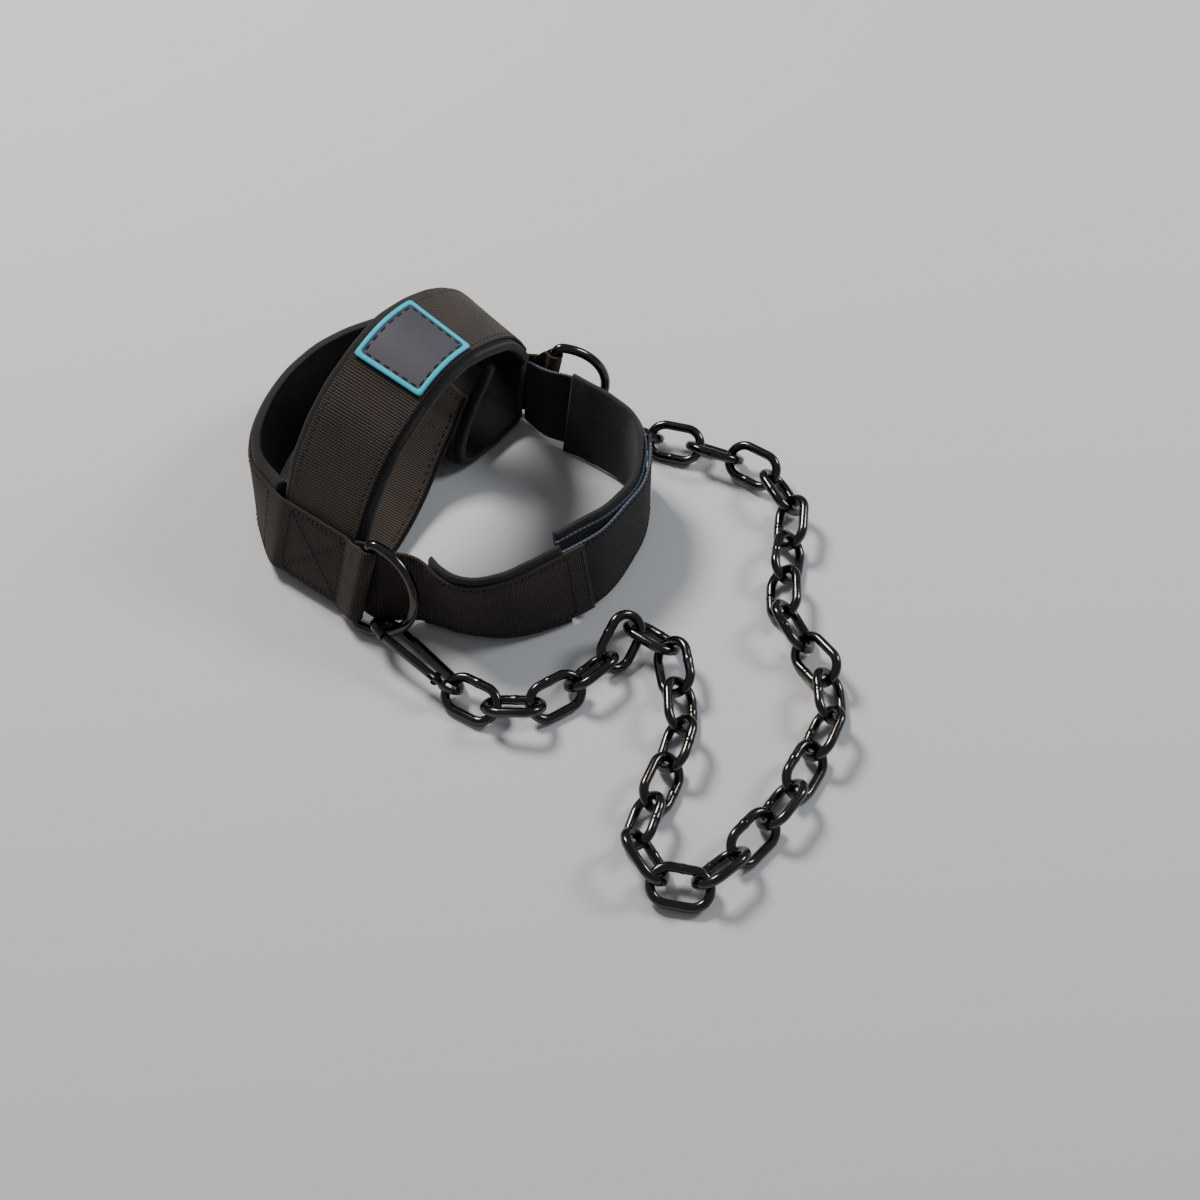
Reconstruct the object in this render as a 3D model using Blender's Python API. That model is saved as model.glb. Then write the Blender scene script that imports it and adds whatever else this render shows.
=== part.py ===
"""Head harness: padded webbing straps, two D-rings, two snap hooks and a steel chain.

The harness lies on the floor as it was put down. Its headband and closing strap stand
on their lower edges, the brow strap arches over them and the chain runs out on the
floor. Sizes are in millimetres; the meshes are made in metres, +Z up.
"""

import math

import bmesh
import bpy
from mathutils import Vector

MM = 0.001

# Webbing, padding and the clearance between two sewn plies
WEB_WIDTH = 50.0
WEB_THICK = 2.0
PAD_WIDTH = 60.0
PAD_THICK = 6.0
LINING_WIDTH = 58.0
LINING_THICK = 3.6
BACKING_THICK = 2.6
GAP = 0.3
FASTENER_GAP = 1.0
STRAP_LEAVES = (6.0, 14.0)
STRAP_UNDER = 1.5
PAD_CHAMFER = 1.2

# Patch on the brow strap
PATCH_SIZE = 47.0
PATCH_THICK = 1.6
BORDER_WIDTH = 3.0
BORDER_THICK = 0.7
BORDER_CLEAR = 0.5

# D-rings
RING_WIRE = 6.0
RING_DEPTH = 42.0
RING_OVER_WEB = 3.0
RING_CORNER = 4.5
RING_SIDES = 8
RING_CORNER_STEPS = 3
RING_BOW_STEPS = 14

# Snap hooks
HOOK_WIRE = 6.0
HOOK_LENGTH = 72.0
HOOK_EYE_RADIUS = 8.2
HOOK_BOW_RADIUS = 11.5
HOOK_EYE_OPENS = 78.0
HOOK_SIDES = 10
HOOK_EYE_STEPS = 9
HOOK_BOW_STEPS = 11
GATE_WIRE = 5.2
GATE_TAIL = 2.6
GATE_SHORT = 1.0
PIVOT_BACK = 3.0
NOSE_LENGTH = 3.2
CHEEK_CUT = 10.4
SLOT_LENGTH = 9.2
SLOT_HEIGHT = 8.0
TONGUE_THICK = 2.2
PIN_RADIUS = 1.1
PIN_HEAD_RADIUS = 1.9
PIN_HEAD_THICK = 0.6
PIN_SIDES = 10

# Chain
LINK_COUNT = 28
LINK_WIRE = 5.6
LINK_PITCH = 27.2
LINK_WIDTH = 25.5
LINK_PLAY = 0.95
LINK_ROLL = 45.0
LINK_SIDES = 6
LINK_END_STEPS = 6
OTHER_ROLLS = {1: 31.0, 2: -36.0, 6: -38.0, 7: 38.0, 12: -48.0, 13: 22.0, 14: -48.0, 28: -36.0}

# Brow strap, middle of its width where webbing meets pad. It stands up at the left
# joint, arches over, comes down at the right joint and turns back in under itself.
# Columns: x, y, z, then the direction across the strap, towards its front edge.
BROW = (
    (-171.2, 6.9, 3.4, 0.81, -0.58, -0.05),
    (-165.5, 13.5, 28.0, 0.81, -0.58, -0.05),
    (-158.8, 21.2, 57.0, 0.81, -0.58, -0.05),
    (-150.5, 34.5, 80.0, 0.83, -0.54, -0.11),
    (-134.0, 56.0, 105.0, 0.83, -0.53, -0.16),
    (-105.0, 94.0, 121.0, 0.79, -0.58, -0.19),
    (-76.0, 136.0, 101.0, 0.75, -0.64, -0.16),
    (-63.8, 160.5, 66.0, 0.67, -0.73, -0.05),
    (-64.4, 162.4, 50.0, 0.65, -0.75, -0.01),
    (-66.0, 162.3, 31.0, 0.64, -0.76, 0.00),
    (-67.4, 161.6, 17.0, 0.65, -0.76, 0.00),
    (-70.3, 157.8, 7.0, 0.66, -0.75, 0.00),
    (-78.0, 149.5, 3.4, 0.68, -0.73, 0.00),
    (-90.0, 135.5, 3.0, 0.70, -0.71, 0.00),
    (-100.5, 123.5, 4.0, 0.72, -0.69, 0.00),
    (-106.8, 118.0, 9.5, 0.71, -0.70, 0.00),
    (-107.6, 118.8, 19.0, 0.70, -0.71, 0.00),
    (-105.0, 122.0, 32.0, 0.70, -0.71, 0.00),
    (-99.0, 128.0, 48.0, 0.70, -0.71, 0.00),
    (-90.5, 134.0, 68.0, 0.70, -0.71, 0.00),
    (-86.0, 136.5, 80.0, 0.70, -0.71, 0.00),
)
LEFT_JOINT_ROW = 1
RIGHT_JOINT_ROW = 9
APEX_ROW = 5
LIMB_ROW = 18
PATCH_SHIFT = -4.0
BROW_WEB_START = 5.0
BROW_WEB_SHORT = 2.0

# Crown strap, from inside the left joint to the turned-in end of the brow strap.
# Columns as above.
CROWN = (
    (-150.0, 37.0, 7.0, 0.83, -0.55, -0.04),
    (-142.0, 52.0, 8.5, 0.84, -0.53, -0.04),
    (-132.0, 75.0, 12.0, 0.83, -0.54, -0.04),
    (-121.5, 99.0, 21.0, 0.78, -0.62, -0.02),
)
CROWN_LAP_FROM = -14.0
CROWN_LAP_TO = 12.0
BACKING_SHORT = 1.5
BACKING_SHIFT = 1.2

# Rear headband between the two joints, outer face at half height.
# Columns: x, y, lean of the top edge towards the head in degrees.
REAR = (
    (-202.0, 45.0, 10.0),
    (-208.5, 61.0, 3.0),
    (-209.5, 80.0, 0.0),
    (-207.0, 99.0, 0.0),
    (-201.0, 118.0, 0.0),
    (-191.0, 137.0, 0.0),
    (-178.0, 153.0, 0.0),
    (-162.0, 166.0, 0.0),
    (-143.0, 176.0, 0.0),
    (-122.0, 183.0, -2.0),
    (-102.0, 188.0, -4.0),
)

# Closing strap, left part, outer face at half height. Columns as in REAR.
CLOSING_LEFT = (
    (-108.0, -14.5, 11.0),
    (-95.0, -22.5, 1.0),
    (-83.0, -29.0, -3.0),
    (-68.0, -31.5, -2.0),
    (-52.0, -29.5, 3.0),
    (-38.0, -24.0, 8.0),
    (-23.0, -16.0, 12.0),
    (-6.0, -5.5, 13.0),
    (7.0, 6.0, 10.0),
)

# Closing strap, right part, where its webbing meets its lining, from the right joint
# round to its free end inside the left part. Columns as in REAR.
CLOSING_RIGHT = (
    (-33.2, 129.4, -12.0),
    (-20.0, 124.5, -15.0),
    (-7.0, 116.5, -12.0),
    (6.0, 107.0, -11.0),
    (18.0, 95.0, -8.0),
    (25.0, 80.0, -2.0),
    (25.5, 62.0, 0.0),
    (22.0, 44.5, 2.0),
    (14.0, 29.5, 6.0),
    (4.0, 18.0, 8.0),
    (-9.5, 9.0, 8.0),
    (-24.5, -1.5, 8.0),
)
FASTENED_ROWS = (8, 7, 6)
LINING_LEFT_START = 36.0
LINING_RIGHT_START = 34.0
LINING_RIGHT_SHORT = 2.0
SEAM_ROW = 7
SEAM_LAP = 14.0
HOOK_STRAP_END = (33.5, 88.0, -2.0)
HOOK_STRAP_TAPER = 16.0
HOOK_STRAP_DROP = 6.0

# Each D-ring's bar beside its joint: how far along and how far out it lies, how far its
# fold leans out and is lifted, and how far the ring swings out of the strap's plane.
# Each hook hangs on the ring's bow at an angle from its middle, points along the floor
# with a heading, and leans over from upright.
LEFT_SIDE = {"bar_at": 36.5, "bar_level": 1.2, "fold_lean": -2.0, "fold_lift": 2.0}
LEFT_RING_SWING = -6.0
LEFT_HOLD_ANGLE = -48.0
LEFT_HOOK_HEADING = -47.0
LEFT_HOOK_LEAN = 46.0
LEFT_HOOK_HOLD = 13.0
RIGHT_SIDE = {"bar_at": 36.5, "bar_level": 7.5, "fold_lean": 8.0, "fold_lift": 7.5}
RIGHT_RING_SWING = 52.0
RIGHT_HOLD_ANGLE = -46.0
RIGHT_HOOK_HEADING = -24.0
RIGHT_HOOK_LEAN = 45.0
RIGHT_HOOK_HOLD = 16.0

# Route of the chain on the floor between the two hooks: x, y, height of the joint.
CHAIN_ROUTE = (
    (-67.0, -80.0, 9.8),
    (-42.0, -84.0, 9.8),
    (-17.0, -70.0, 9.8),
    (6.5, -47.0, 9.8),
    (22.0, -30.0, 9.8),
    (40.0, -45.0, 9.8),
    (45.5, -74.0, 9.8),
    (46.0, -97.0, 9.8),
    (38.0, -124.0, 9.8),
    (27.0, -149.0, 9.8),
    (19.0, -172.0, 9.8),
    (31.0, -191.0, 9.8),
    (51.0, -196.0, 9.8),
    (69.0, -182.0, 9.8),
    (88.0, -162.0, 9.8),
    (104.0, -141.0, 9.8),
    (119.0, -115.0, 9.8),
    (130.0, -90.0, 9.8),
    (131.0, -64.0, 9.8),
    (118.0, -39.0, 9.8),
    (108.0, -16.0, 9.8),
    (110.0, 10.0, 9.8),
    (115.0, 37.0, 9.8),
    (116.0, 64.0, 9.8),
    (103.0, 88.0, 9.8),
    (81.0, 103.0, 9.8),
    (56.0, 112.0, 9.8),
)

BLACK_WEBBING = ((0.036, 0.030, 0.026), 0.75, 0.0)
CLOTH_PAD = ((0.022, 0.022, 0.024), 0.9, 0.0)
HOOK_CLOTH = ((0.028, 0.025, 0.023), 0.85, 0.0)
RUBBER = ((0.055, 0.052, 0.066), 0.55, 0.0)
CYAN_RUBBER = ((0.0, 0.5, 0.62), 0.5, 0.0)
BLACK_CHROME = ((0.06, 0.056, 0.052), 0.25, 1.0)


def clear_scene():
    for obj in list(bpy.data.objects):
        bpy.data.objects.remove(obj, do_unlink=True)


def material(name, look):
    """One plain Principled material."""
    colour, roughness, metallic = look
    mat = bpy.data.materials.new(name)
    mat.use_nodes = True
    shader = mat.node_tree.nodes["Principled BSDF"]
    shader.inputs["Base Color"].default_value = (*colour, 1.0)
    shader.inputs["Roughness"].default_value = roughness
    shader.inputs["Metallic"].default_value = metallic
    return mat


def make_object(name, bm, look, parent):
    """Turn a bmesh in millimetres into an object whose origin is its middle."""
    bmesh.ops.recalc_face_normals(bm, faces=bm.faces)
    if bm.calc_volume(signed=True) < 0:
        bmesh.ops.reverse_faces(bm, faces=bm.faces)
    lows = [min(v.co[k] for v in bm.verts) for k in range(3)]
    highs = [max(v.co[k] for v in bm.verts) for k in range(3)]
    middle = (Vector(lows) + Vector(highs)) / 2
    return place_mesh(name, bm, look, parent, middle)


def place_mesh(name, bm, look, parent, origin):
    """Give a bmesh to a new object with its origin at the given point."""
    for v in bm.verts:
        v.co = (v.co - origin) * MM
    mesh = bpy.data.meshes.new(name)
    bm.to_mesh(mesh)
    bm.free()
    obj = bpy.data.objects.new(name, mesh)
    bpy.context.collection.objects.link(obj)
    obj.data.materials.append(material(name + "_look", look))
    obj.location = origin * MM
    obj.parent = parent
    return obj


class Path:
    """A smooth line with a direction across it, measured by its length.

    Every ply on the path shares the same stations, so that plies at different levels
    keep their clearance where the path bends.
    """

    FINE_STEP = 1.0
    SHORTEST_STEP = 1.5
    LONGEST_STEP = 10.0
    LARGEST_TURN = math.radians(14.0)

    def __init__(self, rows, outward=1.0):
        points = [Vector(row[:3]) for row in rows]
        across = [Vector(row[3:6]).normalized() for row in rows]
        knots = [0.0]
        for a, b in zip(points, points[1:]):
            knots.append(knots[-1] + (b - a).length)
        count = max(8, int(knots[-1] / self.FINE_STEP))
        fine = [hermite(knots, points, knots[-1] * i / count) for i in range(count + 1)]
        wide = [hermite(knots, across, knots[-1] * i / count) for i in range(count + 1)]
        lengths = [0.0]
        for a, b in zip(fine, fine[1:]):
            lengths.append(lengths[-1] + (b - a).length)
        self.length = lengths[-1]
        self.marks = [m * self.length / knots[-1] for m in knots]
        self.frames = []
        for i, point in enumerate(fine):
            along = (fine[min(count, i + 1)] - fine[max(0, i - 1)]).normalized()
            side = (wide[i] - along * wide[i].dot(along)).normalized()
            self.frames.append((lengths[i], point, along, side, side.cross(along) * outward))
        self.cut_at()

    def cut_at(self, *lengths):
        """Choose the stations, with one at each length where a ply ends."""
        ends = sorted({0.0, self.length, *lengths})
        grid = []
        for start, end in zip(ends, ends[1:]):
            grid.append(self.between(self.frames, start))
            for here, after in zip(self.frames, self.frames[1:]):
                last = grid[-1]
                if last[0] + self.SHORTEST_STEP < here[0] < end - self.SHORTEST_STEP:
                    far = after[0] - last[0] > self.LONGEST_STEP
                    turn = max(after[2].angle(last[2]), after[3].angle(last[3]))
                    if far or turn > self.LARGEST_TURN:
                        grid.append(here)
        grid.append(self.frames[-1])
        self.grid = grid

    @staticmethod
    def between(frames, s):
        """The frame at length s of a list of frames."""
        i = 0
        while i < len(frames) - 2 and frames[i + 1][0] < s:
            i += 1
        a, b = frames[i], frames[i + 1]
        t = (s - a[0]) / (b[0] - a[0])
        along, side, out = (a[k].lerp(b[k], t).normalized() for k in (2, 3, 4))
        return s, a[1].lerp(b[1], t), along, side, out

    def span(self, s):
        """The two stations on either side of length s, and the share between them."""
        i = 0
        while i < len(self.grid) - 2 and self.grid[i + 1][0] < s:
            i += 1
        a, b = self.grid[i], self.grid[i + 1]
        return a, b, (s - a[0]) / (b[0] - a[0])

    def at(self, s, w, n):
        """The point at length s, w across the strap and n outward."""
        a, b, t = self.span(s)
        start = a[1] + a[3] * w + a[4] * n
        end = b[1] + b[3] * w + b[4] * n
        return start + (end - start) * t

    def frame(self, s):
        """Point, direction along, direction across and direction outward at length s."""
        _, point, along, across, out = self.between(self.frames, s)
        return point, along, across, out

    def stations(self, start, end):
        near = 0.01
        inside = [g[0] for g in self.grid if start + near < g[0] < end - near]
        return [start] + inside + [end]


def hermite(knots, values, u):
    """Smooth value at u through the values at the knots."""
    i = 0
    while i < len(knots) - 2 and knots[i + 1] < u:
        i += 1
    span = knots[i + 1] - knots[i]
    t = (u - knots[i]) / span

    def slope(k):
        a = max(0, k - 1)
        b = min(len(knots) - 1, k + 1)
        return (values[b] - values[a]) / (knots[b] - knots[a])

    m0 = slope(i) * span
    m1 = slope(i + 1) * span
    t2 = t * t
    t3 = t2 * t
    return (values[i] * (2 * t3 - 3 * t2 + 1) + m0 * (t3 - 2 * t2 + t)
            + values[i + 1] * (3 * t2 - 2 * t3) + m1 * (t3 - t2))


def standing(rows, height, depth, inward=1.0):
    """Rows of a strap that stands on its lower edge, given as x, y and lean.

    depth is how far its plies reach towards the head from the line. inward is 1 where the
    head is on the right of the line, and -1 where it is on the left.
    """
    out = []
    for i, (x, y, lean) in enumerate(rows):
        a = Vector(rows[max(0, i - 1)][:2])
        b = Vector(rows[min(len(rows) - 1, i + 1)][:2])
        along = (b - a).normalized()
        tilt = math.radians(lean)
        head = Vector((along.y, -along.x)) * (inward * math.sin(tilt))
        across = Vector((head.x, head.y, math.cos(tilt)))
        rise = height / 2 * math.cos(tilt) + depth * max(0.0, math.sin(tilt))
        out.append((x, y, rise, *across))
    return out


def loft(rings):
    """Closed body through rings of points, with a flat cap at each end."""
    bm = bmesh.new()
    rows = [[bm.verts.new(p) for p in ring] for ring in rings]
    count = len(rows[0])
    for a, b in zip(rows, rows[1:]):
        for i in range(count):
            j = (i + 1) % count
            bm.faces.new((a[i], a[j], b[j], b[i]))
    bm.faces.new(rows[0][::-1])
    bm.faces.new(rows[-1])
    return bm


def ply(path, start, end, width, low, high, chamfer=0.0, shift=0.0, taper=None):
    """A strap ply between two lengths of a path, from level low to level high.

    A chamfered ply is a pad and has the webbing's edges marked on its upper face. All
    plies split their faces the same way, so that two faces that lie close stay clear.
    """
    half = WEB_WIDTH / 2
    rings = []
    for s in path.stations(start, end):
        lower, upper = shift - width / 2, shift + width / 2
        if taper:
            upper -= taper(s)
        if chamfer:
            c = chamfer
            profile = ((lower, low + c), (lower + c, low), (upper - c, low), (upper, low + c),
                       (upper, high - c), (upper - c, high), (half, high), (-half, high),
                       (lower + c, high), (lower, high - c))
        else:
            profile = ((lower, low), (upper, low), (upper, high), (lower, high))
        rings.append([path.at(s, w, n) for w, n in profile])
    return skin(rings, 5 if chamfer else 2)


def skin(rings, under):
    """Closed body through the cross-sections of a ply.

    The first sides of the section, as many as under says, are its lower face.
    """
    bm = bmesh.new()
    rows = [[bm.verts.new(p) for p in ring] for ring in rings]
    count = len(rows[0])
    for a, b in zip(rows, rows[1:]):
        for i in range(count):
            j = (i + 1) % count
            if i < under:
                bm.faces.new((a[i], a[j], b[j]))
                bm.faces.new((a[i], b[j], b[i]))
            else:
                bm.faces.new((a[i], a[j], b[i]))
                bm.faces.new((a[j], b[j], b[i]))
    bm.faces.new(rows[0][::-1])
    bm.faces.new(rows[-1])
    return bm


def tube(points, radius, sides, closed=False, up=None, turn=0.0):
    """Round wire along a planar line of points; up is the plane's normal."""
    rings = []
    count = len(points)
    for i, p in enumerate(points):
        before = points[i - 1] if closed or i > 0 else p
        after = points[(i + 1) % count] if closed or i < count - 1 else p
        along = (after - before).normalized()
        side = up.cross(along).normalized()
        ring = []
        for k in range(sides):
            a = turn + 2 * math.pi * k / sides
            ring.append(p + side * (radius * math.cos(a)) + up * (radius * math.sin(a)))
        rings.append(ring)
    if not closed:
        return loft(rings)
    bm = bmesh.new()
    rows = [[bm.verts.new(p) for p in ring] for ring in rings]
    for i in range(count):
        a = rows[i]
        b = rows[(i + 1) % count]
        for k in range(sides):
            m = (k + 1) % sides
            bm.faces.new((a[k], a[m], b[m], b[k]))
    return bm


def arc(centre, radius, start, end, steps, u, v):
    """Points of an arc in the plane of u and v, angles in degrees."""
    out = []
    for i in range(steps + 1):
        a = math.radians(start + (end - start) * i / steps)
        out.append(centre + u * (radius * math.cos(a)) + v * (radius * math.sin(a)))
    return out


# Levels of the plies at a side joint, measured outward from the joint's own surface,
# which is the outer face of the rear strap's webbing
REAR_WEB = (-WEB_THICK, 0.0)
BROW_LEVEL = -2 * WEB_THICK - 2.5 * GAP
REAR_PAD = (-WEB_THICK - GAP - PAD_THICK, -WEB_THICK - GAP)
PAD_EDGE = PAD_WIDTH / 2
REAR_PAD_LEFT_CLEAR = 6.0
REAR_PAD_RIGHT_CLEAR = 13.0
RING_RADIUS = RING_WIRE / 2
LOOP_RADIUS = RING_RADIUS + GAP + WEB_THICK / 2
FOLD_START = 19.0
FOLD_WRAP = 115.0
FOLD_STEPS = 8
FOLD_FOLLOWS = 0.6
JOINT_REACH = (FOLD_START, 8.0, -7.0, -20.0, -29.0)


class Joint:
    """A side joint, where the brow strap, headband and closing strap are sewn together.

    s runs along the headband towards the ring, w up the strap and n outward. The fold
    that holds the ring may lean outward, be lifted and stand off by its own amounts.
    """

    def __init__(self, brow, row, bar_at, bar_level, fold_lean, fold_lift):
        point, along, across, out = brow.frame(brow.marks[row])
        self.up = along if along.z > 0 else -along
        self.along = across
        self.out = out
        rise = PAD_WIDTH / 2 - point.z
        middle = point + self.up * (rise / self.up.z)
        bulge = 0.0
        self.clear = WEB_WIDTH / 2
        for _, p, _, side, normal in brow.frames:
            for w in (-WEB_WIDTH / 2, WEB_WIDTH / 2):
                corner = p + side * w + normal * WEB_THICK - middle
                if abs(corner.dot(self.up)) < PAD_WIDTH / 2 and corner.dot(out) > -PAD_THICK:
                    bulge = max(bulge, corner.dot(out) - WEB_THICK)
                    self.clear = max(self.clear, corner.dot(across))
        self.clear += 2 * GAP
        self.centre = middle - out * (BROW_LEVEL - bulge)
        self.fold_lean = math.radians(fold_lean)
        self.fold_lift = fold_lift
        self.bar_at = bar_at
        self.bar_level = bar_level

    def at(self, s, w, n):
        return self.centre + self.along * s + self.up * w + self.out * n

    def fold_axes(self, share):
        lean = self.fold_lean * share
        up = self.up * math.cos(lean) + self.out * math.sin(lean)
        out = self.out * math.cos(lean) - self.up * math.sin(lean)
        return up, out, self.centre + self.up * (self.fold_lift * share)

    def fold_at(self, s, w, n):
        full = self.bar_at - LOOP_RADIUS - GAP
        share = min(max((s - self.clear) / (full - self.clear), 0.0), 1.0)
        up, out, centre = self.fold_axes(share)
        return centre + self.along * s + up * w + out * n

    def row(self, s, n):
        return (*self.at(s, 0.0, n), *self.up)


def rear_path(left, right):
    """Headband from beside the left joint's ring, round the back, to the right one."""
    rows = [left.row(s, 0.0) for s in JOINT_REACH]
    rows += standing(REAR, PAD_WIDTH, -REAR_PAD[0])
    rows += [right.row(s, 0.0) for s in reversed(JOINT_REACH)]
    return Path(rows)


def ring_fold(joint):
    """Middle line of the webbing from the joint round the ring's bar and back."""
    flat = -WEB_THICK / 2
    bar, level = joint.bar_at, joint.bar_level
    back = flat - WEB_THICK - GAP + FOLD_FOLLOWS * level
    top = level + LOOP_RADIUS * math.sin(math.radians(FOLD_WRAP))
    low = level - LOOP_RADIUS * math.sin(math.radians(FOLD_WRAP))
    near = bar + LOOP_RADIUS * math.cos(math.radians(FOLD_WRAP))
    inner = joint.clear
    line = []
    for t in (0.0, 0.25, 0.5, 0.75):
        ease = t * t * (3 - 2 * t) if t < 0.5 else t
        line.append((FOLD_START + (near - FOLD_START) * t, flat + (top - flat) * ease))
    for i in range(FOLD_STEPS + 1):
        a = math.radians(FOLD_WRAP - 2 * FOLD_WRAP * i / FOLD_STEPS)
        line.append((bar + LOOP_RADIUS * math.cos(a), level + LOOP_RADIUS * math.sin(a)))
    line.append(((near + inner) / 2, (low + back) / 2))
    line.append((inner, back))
    return line


def rear_webbing(path, left, right):
    """The headband's webbing with a fold round each D-ring's bar."""
    half = WEB_WIDTH / 2
    folds = []
    for joint in (left, right):
        fold = ring_fold(joint)
        part = []
        for i, (s, n) in enumerate(fold):
            a = Vector(fold[max(0, i - 1)])
            b = Vector(fold[min(len(fold) - 1, i + 1)])
            if i == 0:
                b = a + Vector((1.0, 0.0))
            normal = Vector((-(b - a).y, (b - a).x)).normalized() * (WEB_THICK / 2)
            low = (s - normal.x, n - normal.y)
            high = (s + normal.x, n + normal.y)
            edges = ((low, -half), (low, half), (high, half), (high, -half))
            part.append([joint.fold_at(at[0], w, at[1]) for at, w in edges])
        folds.append(part)
    profile = ((-half, REAR_WEB[0]), (half, REAR_WEB[0]), (half, 0.0), (-half, 0.0))
    inside = path.stations(0.0, path.length)[1:-1]
    middle = [[path.at(s, w, n) for w, n in profile] for s in inside]
    return skin(folds[0][::-1] + middle + folds[1], 2)


def ring_line(joint, swing, hold):
    """Centre line of a D-ring, its straight bar through the webbing's fold.

    Also the ring's plane and the point of its bow where the hook holds it.
    """
    half = WEB_WIDTH / 2 + RING_OVER_WEB / 2 + RING_RADIUS
    v, out, _ = joint.fold_axes(1.0)
    swing = math.radians(swing)
    u = joint.along * math.cos(swing) + out * math.sin(swing)
    centre = joint.fold_at(joint.bar_at, 0.0, joint.bar_level)
    r = RING_CORNER
    depth = RING_DEPTH - RING_WIRE
    line = [centre + v * (half - r) * k / 2 for k in (-2, -1, 0, 1, 2)]
    line += arc(centre + u * r + v * (half - r), r, 180, 90, RING_CORNER_STEPS, u, v)[1:]

    def bow(angle):
        a = math.radians(angle)
        return centre + u * (r + (depth - r) * math.cos(a)) + v * (half * math.sin(a))

    line += [bow(90 - 180 * i / RING_BOW_STEPS) for i in range(1, RING_BOW_STEPS)]
    line += arc(centre + u * r - v * (half - r), r, 270, 180, RING_CORNER_STEPS, u, v)[:-1]
    return line, u.cross(v).normalized(), bow(hold)


class Hook:
    """A snap hook with its spine on the floor. x runs from the bow to the eye and y from
    the spine to the gate."""

    def __init__(self, held, hold, heading, lean):
        a, b = math.radians(heading), math.radians(lean)
        upright = Vector((0.0, 0.0, 1.0))
        self.x = Vector((math.cos(a), math.sin(a), 0.0))
        self.y = upright * math.cos(b) + self.x.cross(upright) * math.sin(b)
        self.side = self.x.cross(self.y)
        self.radius = HOOK_WIRE / 2
        rise = (held.z - self.radius) / math.cos(b)
        self.base = held - self.x * hold - self.y * rise
        self.bow = HOOK_BOW_RADIUS
        self.eye = HOOK_EYE_RADIUS
        self.bow_x = self.radius + self.bow
        self.eye_x = HOOK_LENGTH - self.radius - self.eye
        self.pivot = self.at(self.eye_x - PIVOT_BACK, 2 * self.eye)
        self.nose = self.at(self.bow_x + NOSE_LENGTH, 2 * self.bow)

    def at(self, x, y):
        return self.base + self.x * x + self.y * y

    def body_line(self):
        """Centre line from the gate's pivot round the eye, the spine and the bow."""
        line = [self.pivot]
        eye, bow = self.at(self.eye_x, self.eye), self.at(self.bow_x, self.bow)
        line += arc(eye, self.eye, HOOK_EYE_OPENS, -90, HOOK_EYE_STEPS, self.x, self.y)
        line += arc(bow, self.bow, 270, 90, HOOK_BOW_STEPS, self.x, self.y)
        line.append(self.nose)
        return line

    def seat(self):
        """Middle of the joint between the eye and the chain's end link."""
        slack = (HOOK_WIRE + LINK_WIRE + LINK_PLAY) / 2
        return self.at(self.eye_x + self.eye - slack + (LINK_WIRE + LINK_PLAY) / 2, self.eye)


def box(centre, axes, size):
    """A plain box with the given axes and full sizes."""
    bm = bmesh.new()
    bmesh.ops.create_cube(bm, size=1.0)
    for v in bm.verts:
        x, y, z = v.co
        v.co = centre + axes[0] * (x * size[0]) + axes[1] * (y * size[1]) + axes[2] * (z * size[2])
    return bm


def rod(a, b, radius, sides):
    """A straight round rod."""
    along = (b - a).normalized()
    helper = Vector((0, 0, 1)) if abs(along.z) < 0.9 else Vector((1, 0, 0))
    return tube([a, b], radius, sides, up=along.cross(helper).normalized())


def carve(obj, cutters, parent):
    """Cut the closed bodies in cutters out of an object."""
    for k, bm in enumerate(cutters):
        tool = make_object(f"tool_{k}", bm, BLACK_CHROME, parent)
        cut = obj.modifiers.new("cut", "BOOLEAN")
        cut.operation = "DIFFERENCE"
        cut.object = tool
        bpy.context.view_layer.update()
        graph = bpy.context.evaluated_depsgraph_get()
        mesh = bpy.data.meshes.new_from_object(obj.evaluated_get(graph))
        obj.modifiers.clear()
        obj.data = mesh
        bpy.data.objects.remove(tool, do_unlink=True)


def build_hook(prefix, hook, parent):
    """Body, gate and pin of one snap hook. The gate's origin is on its pivot."""
    along = (hook.nose - hook.pivot).normalized()
    normal = hook.side.cross(along).normalized()
    axes = (along, normal, hook.side)
    wire = tube(hook.body_line(), hook.radius, HOOK_SIDES, up=hook.side)
    body = make_object(prefix + "_hook", wire, BLACK_CHROME, parent)
    offset = (TONGUE_THICK + HOOK_WIRE) / 2
    cheeks = [box(hook.pivot + hook.side * (k * offset), axes, (CHEEK_CUT, CHEEK_CUT, HOOK_WIRE))
              for k in (-1, 1)]
    carve(body, cheeks + [pin_hole(hook)], parent)

    tail = hook.pivot - along * GATE_TAIL
    gate_bm = tube([tail, hook.nose - along * GATE_SHORT], GATE_WIRE / 2, HOOK_SIDES, up=hook.side)
    gate = place_closed(prefix + "_gate", gate_bm, BLACK_CHROME, parent, hook.pivot)
    slot = box(hook.pivot, axes, (SLOT_LENGTH, SLOT_HEIGHT, TONGUE_THICK + 2 * GAP))
    carve(gate, [slot, pin_hole(hook)], parent)

    reach = GATE_WIRE / 2 + GAP
    head = PIN_HEAD_THICK
    profile = ((-reach - head, PIN_HEAD_RADIUS), (-reach, PIN_HEAD_RADIUS), (-reach, PIN_RADIUS),
               (reach, PIN_RADIUS), (reach, PIN_HEAD_RADIUS), (reach + head, PIN_HEAD_RADIUS))
    rings = []
    for offset, radius in profile:
        ring = []
        for k in range(PIN_SIDES):
            a = 2 * math.pi * k / PIN_SIDES
            ring.append(hook.pivot + hook.side * offset + along * (radius * math.cos(a))
                        + normal * (radius * math.sin(a)))
        rings.append(ring)
    make_object(prefix + "_pin", loft(rings), BLACK_CHROME, parent)


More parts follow.
